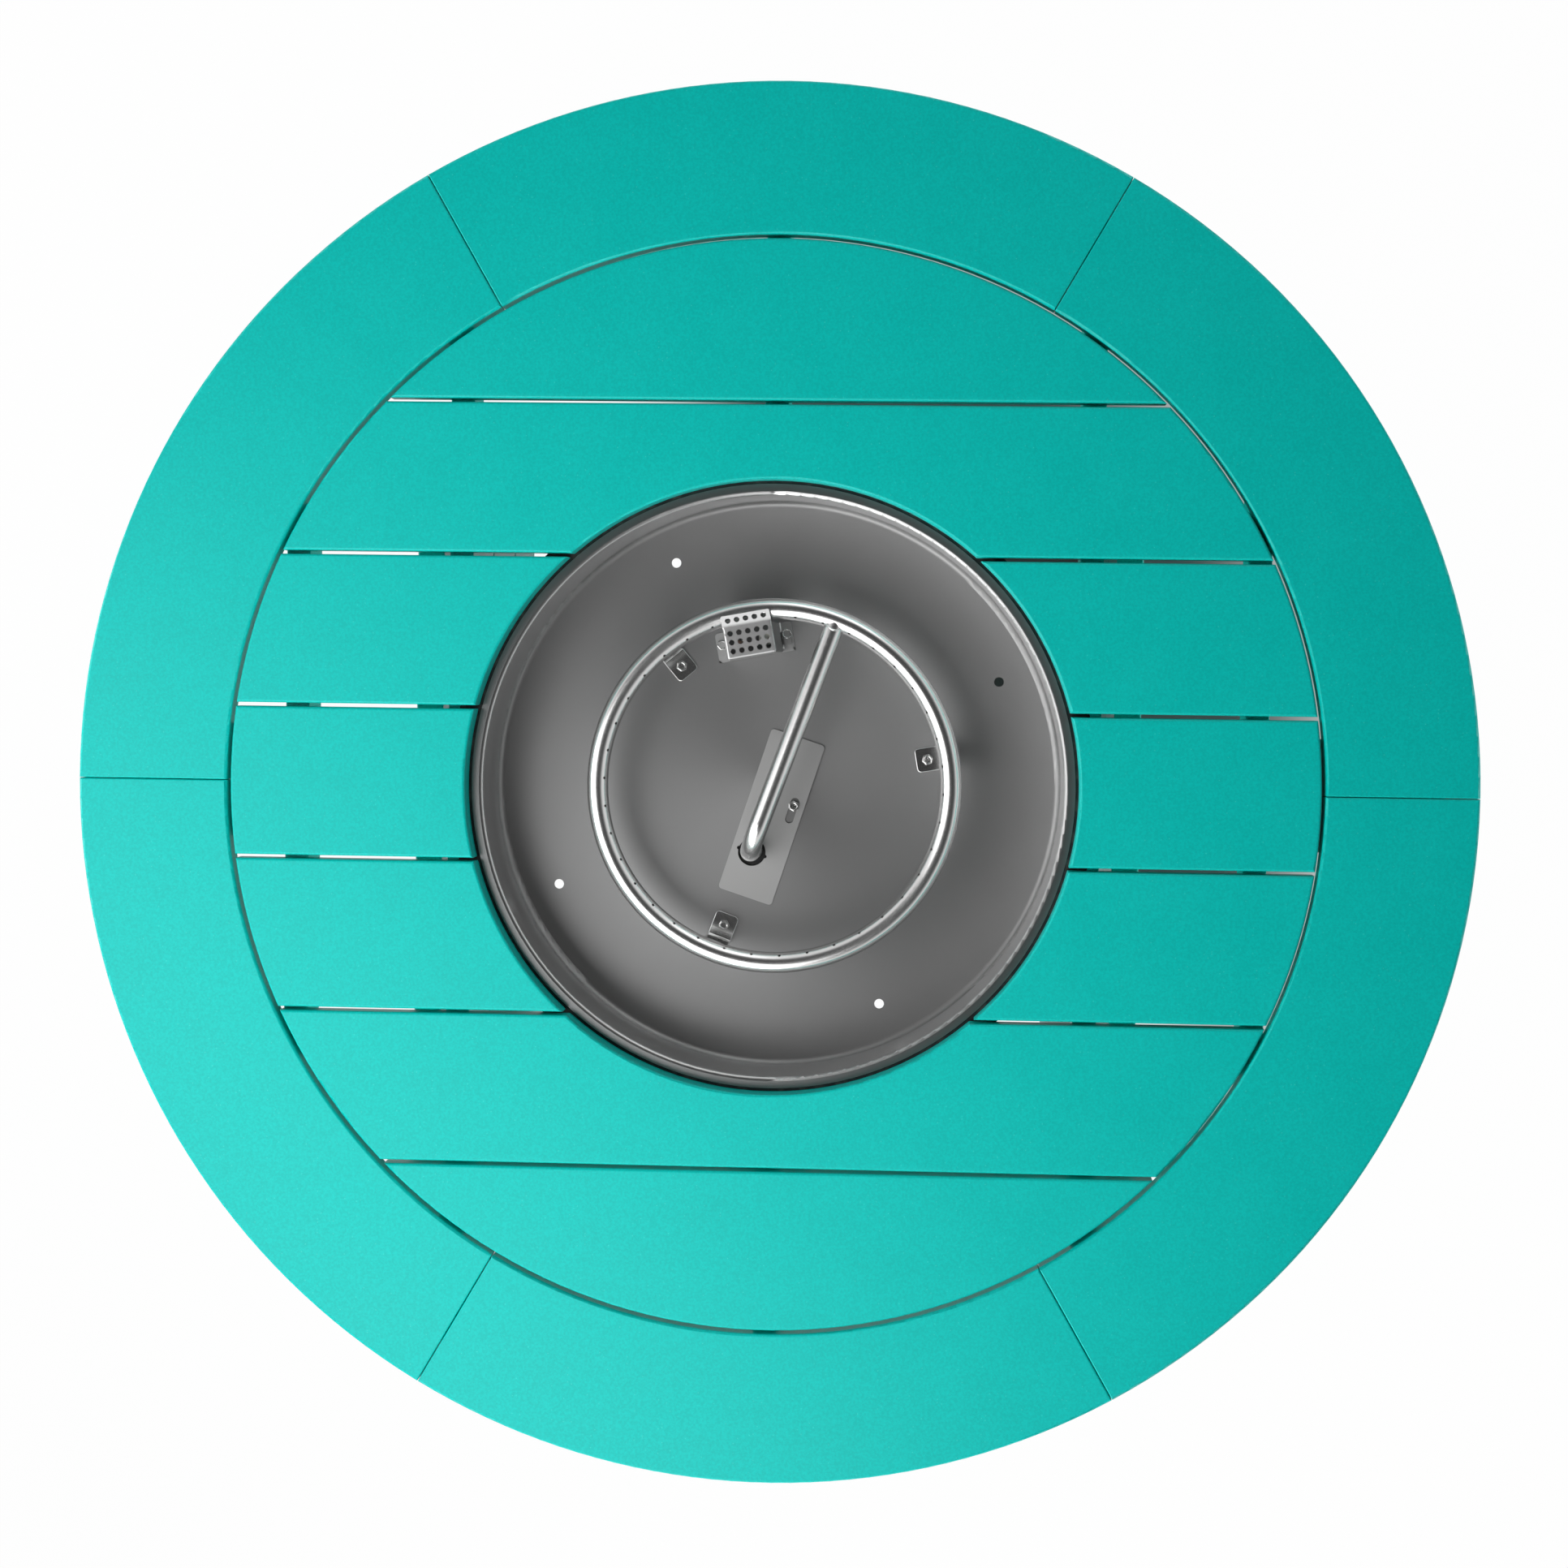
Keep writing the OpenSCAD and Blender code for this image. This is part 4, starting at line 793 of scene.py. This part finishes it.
class FIREPIT_OT_screws(Operator):
    """Models one hex screw with a dished head and a cross recess and sets it wherever the frame has one"""

    bl_idname = "firepit.screws"
    bl_label = "Burner Screws"

    def execute(self, context):
        look = settings().burner
        places = solids("burner_screws")
        low, high = places[0]
        radius = (high.x - low.x) / 2
        flat = radius * math.cos(math.radians(30))
        root = 0.88
        groove = 0.4 * MM
        ridge = 0.55 * MM
        piece = rod("burner_hex_screws", 24, radius, look.head)
        hexagon()
        round_off("EDGE", lambda c: c.z > look.head - TINY, offset=0.8 * MM, segments=3)
        end_face(look.head)
        bpy.ops.mesh.inset(thickness=0.3 * MM)
        bpy.ops.transform.tosphere(value=1)
        bpy.ops.mesh.inset(thickness=0.5 * MM, depth=-0.8 * MM)
        bpy.ops.mesh.inset(thickness=0.7 * MM, depth=-0.15 * MM)
        end_face(0)
        bpy.ops.mesh.inset(thickness=0.2 * MM)
        bpy.ops.transform.tosphere(value=1)
        bpy.ops.mesh.inset(thickness=flat - 0.3 * MM - look.shank / 2)
        for thread in range(8):
            extrude((0, 0, -groove))
            bpy.ops.transform.resize(value=(root, root, 1), center_override=(0, 0, 0))
            extrude((0, 0, -ridge))
            bpy.ops.transform.resize(value=(1 / root, 1 / root, 1), center_override=(0, 0, 0))
        close(piece)
        cut(piece, self.cross(look.head))
        turned = []
        for k, (low, high) in enumerate(places):
            middle = (low + high) / 2
            place = Matrix.Translation((middle.x, middle.y, high.z - look.head))
            turned.append(place @ Matrix.Rotation(math.radians(23 + 47 * k), 4, "Z"))
        finish_piece(copies(piece, turned), "table", "polished_steel", ("burner_screws",), angle=28)
        return {"FINISHED"}

    @staticmethod
    def cross(top):
        """Cutter of the cross recess: two narrow wedges across one another."""
        blades = []
        for turn in (0, 90):
            blade = begin(
                bpy.ops.mesh.primitive_cube_add, "recess_blade", size=1, location=(0, 0, top - 1.4 * MM),
                scale=(4.2 * MM, 0.9 * MM, 2.6 * MM), rotation=(0, 0, math.radians(turn)))
            choose("FACE", lambda c: c.z < top - 2 * MM)
            bpy.ops.transform.resize(value=(0.45, 0.45, 1))
            blades.append(close(blade))
        modify(blades[0], "BOOLEAN", object=blades[1], operation="UNION", solver="EXACT")
        bpy.data.objects.remove(blades[1])
        return blades[0]


class FIREPIT_OT_brackets(Operator):
    """Bends one L bracket from a flat strip and sets three of them under the burner ring"""

    bl_idname = "firepit.brackets"
    bl_label = "Ring Brackets"

    def execute(self, context):
        look = settings().burner
        foot = look.bracket_foot
        low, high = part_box("ring_brackets")
        leg = high.z - low.z
        piece = begin(
            bpy.ops.mesh.primitive_plane_add, "burner_brackets", size=1, location=(-foot / 2, 0, 0),
            scale=(foot, look.bracket_width, 1))
        choose("EDGE", lambda c: c.x > -TINY)
        extrude((0, 0, leg))
        round_off(
            "EDGE", lambda c: c.x > -TINY and c.z < TINY and abs(c.y) < TINY,
            offset=3.2 * MM, segments=6)
        round_off("VERT", lambda c: c.x < TINY - foot, offset=3.4 * MM, segments=6)
        round_off("VERT", lambda c: c.z > leg - TINY, offset=1.5 * MM, segments=4)
        bpy.ops.mesh.select_all(action="SELECT")
        bpy.ops.mesh.normals_make_consistent(inside=False)
        bpy.ops.object.mode_set(mode="OBJECT")
        thicken(piece, look.bracket_sheet, 1, lambda c: c.x < -4 * MM)
        soften(piece, 0.7 * MM, 3)
        places = []
        for angle in bracket_angles():
            turn = Matrix.Rotation(angle, 4, "Z")
            places.append(turn @ Matrix.Translation((BRACKET_LEG, 0, low.z)))
        finish_piece(copies(piece, places), "table", "polished_steel", ("ring_brackets",))
        return {"FINISHED"}


class FIREPIT_OT_welds(Operator):
    """Lays weld beads where the feed tube and the brackets meet the burner ring"""

    bl_idname = "firepit.welds"
    bl_label = "Welds"

    def execute(self, context):
        beads = [self.saddle()]
        for angle in bracket_angles():
            beads.append(self.bracket_bead(angle))
        bead = join(beads, "burner_welds")
        pick(bead)
        bpy.ops.object.mode_set(mode="EDIT")
        bpy.ops.mesh.select_all(action="SELECT")
        bpy.ops.transform.vertex_random(offset=0.22 * MM, seed=3)
        close(bead)
        modify(bead, "SUBSURF", levels=1)
        finish_piece(bead, "table", "polished_steel", angle=60)
        return {"FINISHED"}

    @staticmethod
    def saddle():
        """Bead round the feed tube, bent along the ring's own round."""
        feed = FEED_RADIUS + 0.5 * MM
        steps = 32
        bead = begin(
            bpy.ops.mesh.primitive_torus_add, "feed_bead", major_radius=feed, minor_radius=0.9 * MM,
            major_segments=steps, minor_segments=8)
        for step in range(steps):
            angle = math.radians(step * 360 / steps)
            across = min(feed * abs(math.sin(angle)), TUBE_RADIUS - 0.2 * MM)
            reach = RING_RADIUS - math.sqrt(TUBE_RADIUS ** 2 - across ** 2)
            choose("VERT", lambda c: math.cos(math.atan2(c.y, c.x) - angle) > 0.995 and abs(c.z) < 2 * MM)
            bpy.ops.transform.translate(value=(0, 0, reach))
        close(bead)
        bead.data.transform(
            Matrix.Translation((0, 0, RING_HIGH.z - TUBE_RADIUS)) @ Matrix.Rotation(FEED_ANGLE, 4, "Z")
            @ Matrix.Rotation(math.radians(90), 4, "Y"))
        return bead

    @staticmethod
    def bracket_bead(angle):
        """Short bead along the top of a bracket's leg."""
        bead = begin(
            bpy.ops.mesh.primitive_cylinder_add, "leg_bead", vertices=10, radius=1.5 * MM, depth=17 * MM,
            rotation=(math.radians(90), 0, 0))
        bpy.ops.mesh.select_all(action="SELECT")
        bpy.ops.mesh.bisect(plane_co=(0, 0, 0), plane_no=(0, 1, 0))
        choose("FACE", lambda c: abs(c.y) > 8.4 * MM)
        bpy.ops.mesh.inset(thickness=0.5 * MM, depth=0.5 * MM)
        close(bead)
        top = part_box("ring_brackets")[1].z
        place = Matrix.Translation((BRACKET_LEG - 2 * MM, 0, top - 0.6 * MM))
        bead.data.transform(Matrix.Rotation(angle, 4, "Z") @ place)
        return bead


class FIREPIT_OT_cage(Operator):
    """Punches and bends the pilot cage from one grid of sheet"""

    bl_idname = "firepit.cage"
    bl_label = "Pilot Cage"

    def execute(self, context):
        look = settings().burner
        pitch = look.cage_pitch
        height = look.cage_height
        half = look.cage_length / 2
        deep = look.cage_depth / 2
        splay = 2.2 * MM
        foot = half + splay
        sheet = look.cage_sheet
        near = 0.05 * MM
        piece = begin(
            bpy.ops.mesh.primitive_grid_add, "pilot_cage_sheet", x_subdivisions=10, y_subdivisions=6, size=1,
            location=(0, 0, height), scale=(5 * pitch, 3 * pitch, 1))
        choose("VERT", lambda c: on_grid(c, pitch) and abs(c.x) < 2.25 * pitch and abs(c.y) < 1.25 * pitch)
        self.punch(
            look.cage_hole, lambda c: Vector((round(c.x / pitch), round(c.y / pitch))) * pitch, height)
        for side in (-1, 1):
            choose("EDGE", lambda c: side * c.x > 2.5 * pitch - near)
            extrude((side * (half - 2.5 * pitch), 0, 0))
        for side in (-1, 1):
            choose("EDGE", lambda c: side * c.y > 1.5 * pitch - near)
            extrude((0, side * (deep - 1.5 * pitch), 0))
        lip = Vector((0, math.cos(look.cage_rise), math.sin(look.cage_rise))) * look.cage_lip
        choose("EDGE", lambda c: c.y > deep - near)
        for step in range(2):
            extrude(lip)
        row = deep + lip.y
        choose(
            "VERT", lambda c: abs(c.y - row) < near and abs(c.x) < 2.25 * pitch
            and on_grid(Vector((c.x, 0, 0)), pitch))
        self.punch(look.cage_hole, lambda c: Vector((round(c.x / pitch) * pitch, row)), height + lip.z)
        for side in (-1, 1):
            choose("EDGE", lambda c: side * c.x > half - near and c.y < 1.5 * pitch)
            extrude((side * splay, 0, sheet - height))
            choose("EDGE", lambda c: c.z < sheet + near and side * c.x > foot - near)
            extrude((side * look.cage_tab, 0, 0))
        choose("EDGE", lambda c: c.y < near - deep and c.z > height - near)
        extrude((0, 0, sheet - height))
        bpy.ops.transform.resize(value=(foot / half, 1, 1), center_override=(0, 0, 0))
        merge(TINY)
        round_sharp(40, offset=1.8 * MM, segments=5)
        round_off(
            "EDGE", lambda c: abs(c.y - deep) < near and abs(c.z - height) < near,
            offset=1.1 * MM, segments=3)
        round_off(
            "VERT", lambda c: abs(c.x) > foot + look.cage_tab - near and abs(c.y) > 1.25 * pitch,
            offset=2.5 * MM, segments=4)
        round_off(
            "VERT", lambda c: abs(c.x) > half - near and c.y > deep + 1.9 * lip.y,
            offset=1.9 * MM, segments=4)
        bpy.ops.object.mode_set(mode="OBJECT")
        thicken(piece, sheet, -1, lambda c: c.z > height - near)
        for side in (-1, 1):
            cut(piece, self.slot(side * (foot + look.cage_tab / 2)))
        soften(piece, 0.15 * MM)
        piece = copies(piece, [cage_place()])
        finish_piece(piece, "table", "plate_steel", ("pilot_cage",))
        return {"FINISHED"}

    @staticmethod
    def punch(radius, centre, z):
        """Turns the chosen grid points into round holes."""
        bpy.ops.mesh.bevel(offset=radius, segments=4, profile=0.086, affect="VERTICES")
        choose("FACE", lambda c: (c.xy - centre(c)).length < 0.98 * radius and abs(c.z - z) < 2.5 * MM)
        bpy.ops.mesh.delete(type="FACE")

    @staticmethod
    def slot(x):
        """Cutter of a tab's slot: a bar with round ends."""
        bar = begin(
            bpy.ops.mesh.primitive_cylinder_add, "slot_bar", vertices=32, radius=2.7 * MM, depth=8 * MM,
            location=(x, 0, 0))
        for side in (-1, 1):
            choose("VERT", lambda c: side * c.y > TINY)
            bpy.ops.transform.translate(value=(0, side * 3.8 * MM - 2.5 * MM, 0))
        return close(bar)


class FIREPIT_OT_feed_plate(Operator):
    """Cuts the loose plate under the feed tube, with its slot and its notched hole"""

    bl_idname = "firepit.feed_plate"
    bl_label = "Feed Plate"

    def execute(self, context):
        look = settings().burner
        low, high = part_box("feed_plate")
        sheet = high.z - low.z
        hole = look.plate_hole
        middle = Vector((33 * MM, -6.2 * MM, sheet / 2))
        slot_at = Vector((43.6 * MM, -20.7 * MM))
        piece = begin(
            bpy.ops.mesh.primitive_cube_add, "feed_tube_plate", size=1, location=middle,
            scale=(look.plate_length, look.plate_width, sheet))
        round_off("EDGE", lambda c: abs(c.z - sheet / 2) < 0.1 * sheet, offset=3 * MM, segments=6)
        close(piece)
        cut(piece, self.pin((0, 0), hole, 64))
        for side in (-1, 1):
            cut(piece, self.pin((0, side * hole), 1.5 * MM, 24))
        slot = self.pin(slot_at, look.plate_slot, 32)
        bpy.ops.object.mode_set(mode="EDIT")
        for side in (-1, 1):
            choose("VERT", lambda c: side * (c.x - slot_at.x) > TINY)
            bpy.ops.transform.translate(value=(side * 7.5 * MM, 0, 0))
        cut(piece, close(slot))
        soften(piece, 0.2 * MM)
        foot = Vector((FEED_FOOT * math.cos(FEED_ANGLE), FEED_FOOT * math.sin(FEED_ANGLE), low.z))
        place = Matrix.Translation(foot) @ Matrix.Rotation(FEED_ANGLE + PLATE_SKEW, 4, "Z")
        finish_piece(copies(piece, [place]), "table", "plate_steel", ("feed_plate",))
        return {"FINISHED"}

    @staticmethod
    def pin(middle, radius, sides):
        """Round cutter through the plate."""
        pin = begin(
            bpy.ops.mesh.primitive_cylinder_add, "plate_pin", vertices=sides, radius=radius, depth=12 * MM,
            location=(*middle, 0))
        return close(pin)


class FIREPIT_OT_controls(Operator):
    """Models the gas knob with its pointer, the igniter button and the marks round the knob"""

    bl_idname = "firepit.controls"
    bl_label = "Controls"

    def execute(self, context):
        self.face = Matrix.Rotation(math.radians(90), 4, "X")
        self.knob_at, radius, length = self.size_of("control_knob")
        self.knob(radius, length)
        self.pointer(radius, length)
        self.button()
        self.marks(radius)
        return {"FINISHED"}

    @staticmethod
    def size_of(node):
        """Middle of a control's end at the panel, its radius and its length."""
        low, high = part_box(node)
        middle = (low + high) / 2
        return Vector((middle.x, high.y, middle.z)), (high.x - low.x) / 2, high.y - low.y

    def knob(self, radius, length):
        """Skirt with finger flutes and a waisted bar to grip."""
        skirt = 0.4 * length
        piece = rod("gas_knob", 72, radius, skirt)
        round_off("EDGE", lambda c: c.z > skirt - TINY, offset=1.4 * MM, segments=4)
        choose(
            "FACE", lambda c: c.xy.length > 0.98 * radius
            and (math.degrees(math.atan2(c.y, c.x)) // 5) % 3 == 0)
        bpy.ops.transform.resize(value=(0.965, 0.965, 1), center_override=(0, 0, 0))
        end_face(skirt)
        bpy.ops.mesh.inset(thickness=0.8 * MM)
        bpy.ops.mesh.inset(thickness=0.6 * MM, depth=-0.5 * MM)
        bpy.ops.mesh.inset(thickness=0.3 * MM)
        bpy.ops.transform.resize(value=(0.40, 0.98, 1))
        extrude((0, 0, length - skirt + 0.5 * MM))
        bpy.ops.transform.resize(value=(0.86, 0.95, 1))
        round_off("EDGE", lambda c: c.z > length - TINY, offset=1.6 * MM, segments=5)
        close(piece)
        piece = copies(piece, [Matrix.Translation(self.knob_at) @ self.face])
        finish_piece(piece, "control_knob", "black_plastic", ("control_knob",), angle=40)

    def pointer(self, radius, length):
        """Bright bar let into the end of the grip."""
        piece = begin(
            bpy.ops.mesh.primitive_cube_add, "gas_knob_pointer", size=1,
            location=(0, 0.55 * radius, length - 0.2 * MM), scale=(1.6 * MM, 9 * MM, 0.8 * MM))
        round_off("EDGE", lambda c: c.z > length - 0.3 * MM, offset=0.25 * MM, segments=2)
        close(piece)
        piece = copies(piece, [Matrix.Translation(self.knob_at) @ self.face])
        finish_piece(piece, "control_knob", "polished_steel")

    def button(self):
        """Button with a rolled edge and a dished end."""
        middle, radius, length = self.size_of("igniter_button")
        piece = rod("igniter_push_button", 48, radius, length)
        round_off("EDGE", lambda c: c.z > length - TINY, offset=0.9 * MM, segments=4)
        end_face(length)
        for thickness, depth in ((0.7, 0.0), (0.5, -0.35), (1.6, -0.35), (1.8, -0.1)):
            bpy.ops.mesh.inset(thickness=thickness * MM, depth=depth * MM)
        close(piece)
        piece = copies(piece, [Matrix.Translation(middle) @ self.face])
        finish_piece(piece, "igniter_button", "hardware_steel", ("igniter_button",), angle=40)

    def marks(self, radius):
        """Row of raised marks round the knob, longer towards full flame, and a dot at closed."""
        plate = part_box("control_plate")[0].y
        piece = begin(
            bpy.ops.mesh.primitive_cube_add, "control_marks", size=1, scale=(0.9 * MM, 1 * MM, 0.3 * MM))
        round_off("EDGE", lambda c: c.z > 0.1 * MM, offset=0.1 * MM, segments=2)
        close(piece)
        places = []
        middle = Vector((self.knob_at.x, plate, self.knob_at.z))
        for step in range(13):
            angle = math.radians(15 * step)
            long = 1.0 if step == 0 else 1.4 + 0.27 * step
            reach = radius + 1.6 * MM + long * MM / 2
            places.append(
                Matrix.Translation(middle) @ self.face @ Matrix.Rotation(angle, 4, "Z")
                @ Matrix.Translation((0, reach, 0)) @ Matrix.Diagonal((1, long, 1, 1)))
        finish_piece(copies(piece, places), "table", "black_plastic")


class FIREPIT_OT_gas_nuts(Operator):
    """Models a flare nut and sets one at each end of the gas line"""

    bl_idname = "firepit.gas_nuts"
    bl_label = "Gas Nuts"

    def execute(self, context):
        low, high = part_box("gas_line")
        bore = (high.x - low.x) / 2 + 0.1 * MM
        size = 9.5 * MM
        long = 15 * MM
        piece = rod("gas_flare_nuts", 24, size, long)
        hexagon()
        end_face(long)
        bpy.ops.mesh.inset(thickness=1.2 * MM)
        bpy.ops.transform.tosphere(value=1)
        extrude((0, 0, 2.5 * MM))
        bpy.ops.transform.resize(value=(0.86, 0.86, 1))
        choose("FACE", lambda c: c.xy.length < ON_AXIS)
        bpy.ops.mesh.inset(thickness=1 * MM)
        bpy.ops.transform.tosphere(value=1)
        shape = bmesh.from_edit_mesh(piece.data)
        for face in [face for face in shape.faces if face.select]:
            ratio = bore / max(vert.co.xy.length for vert in face.verts)
            middle = face.calc_center_median()
            choose("FACE", lambda c: (c - middle).length < TINY)
            bpy.ops.transform.resize(value=(ratio, ratio, 1), center_override=middle)
        choose("FACE", lambda c: c.xy.length < ON_AXIS)
        bpy.ops.mesh.bridge_edge_loops()
        round_sharp(50, offset=0.3 * MM, segments=2)
        close(piece)
        middle = (low + high) / 2
        ends = (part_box("air_mixer")[0].y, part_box("gas_valve")[1].y)
        places = []
        for y, turn in ((ends[0], 90), (ends[1], -90)):
            places.append(
                Matrix.Translation((middle.x, y, middle.z)) @ Matrix.Rotation(math.radians(turn), 4, "X"))
        finish_piece(copies(piece, places), "table", "brass")
        return {"FINISHED"}


class FIREPIT_OT_feet(Operator):
    """Turns one ribbed foot and sets it under each post"""

    bl_idname = "firepit.feet"
    bl_label = "Feet"

    def execute(self, context):
        low, high = solids("feet")[0]
        radius = (high.x - low.x) / 2
        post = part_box("front_posts")[0].z
        piece = rod("ribbed_feet", 64, radius, post)
        levels = [post * (0.25 + 0.09 * k) for k in range(1, 7)]
        for level in levels:
            bpy.ops.mesh.select_all(action="SELECT")
            bpy.ops.mesh.bisect(plane_co=(0, 0, level), plane_no=(0, 0, 1))
        for level in levels[1:4:2]:
            choose("VERT", lambda c: abs(c.z - level) < 0.02 * MM)
            bpy.ops.transform.resize(value=(0.93, 0.93, 1), center_override=(0, 0, level))
        round_off("EDGE", lambda c: c.z < TINY, offset=2.5 * MM, segments=5)
        round_off("EDGE", lambda c: c.z > post - TINY, offset=0.8 * MM, segments=3)
        end_face(0)
        bpy.ops.mesh.inset(thickness=8 * MM)
        bpy.ops.mesh.inset(thickness=1 * MM, depth=-2 * MM)
        end_face(post)
        bpy.ops.mesh.inset(thickness=radius - 5 * MM)
        extrude((0, 0, high.z - post))
        close(piece)
        places = [Matrix.Translation((middle.x, middle.y, 0)) for middle in middles("feet")]
        finish_piece(copies(piece, places), "table", "black_plastic", ("feet",))
        return {"FINISHED"}


class FIREPIT_PT_panel(Panel):
    """Lists the steps and the settings"""

    bl_idname = "FIREPIT_PT_panel"
    bl_label = "Fire Pit"
    bl_space_type = "VIEW_3D"
    bl_region_type = "UI"
    bl_category = "Fire Pit"

    def draw(self, context):
        for step in STEPS:
            self.layout.operator(step.bl_idname)
        for group in ("boards", "steel", "burner", "studio"):
            values = getattr(context.scene.fire_pit, group)
            box = self.layout.box()
            for name in values.__annotations__:
                box.prop(values, name)


STEPS = (
    FIREPIT_OT_studio, FIREPIT_OT_finishes, FIREPIT_OT_screws, FIREPIT_OT_brackets, FIREPIT_OT_welds,
    FIREPIT_OT_cage, FIREPIT_OT_feed_plate, FIREPIT_OT_controls, FIREPIT_OT_gas_nuts, FIREPIT_OT_feet)
GROUPS = (FirePitBoards, FirePitSteel, FirePitBurner, FirePitStudio, FirePitSettings)


def register():
    for made in (*GROUPS, *STEPS, FIREPIT_PT_panel):
        bpy.utils.register_class(made)
    bpy.types.Scene.fire_pit = PointerProperty(type=FirePitSettings)


def unregister():
    del bpy.types.Scene.fire_pit
    for made in reversed((*GROUPS, *STEPS, FIREPIT_PT_panel)):
        bpy.utils.unregister_class(made)


def main():
    register()
    for step in STEPS:
        category, name = step.bl_idname.split(".")
        getattr(getattr(bpy.ops, category), name)()


if __name__ == "__main__":
    main()
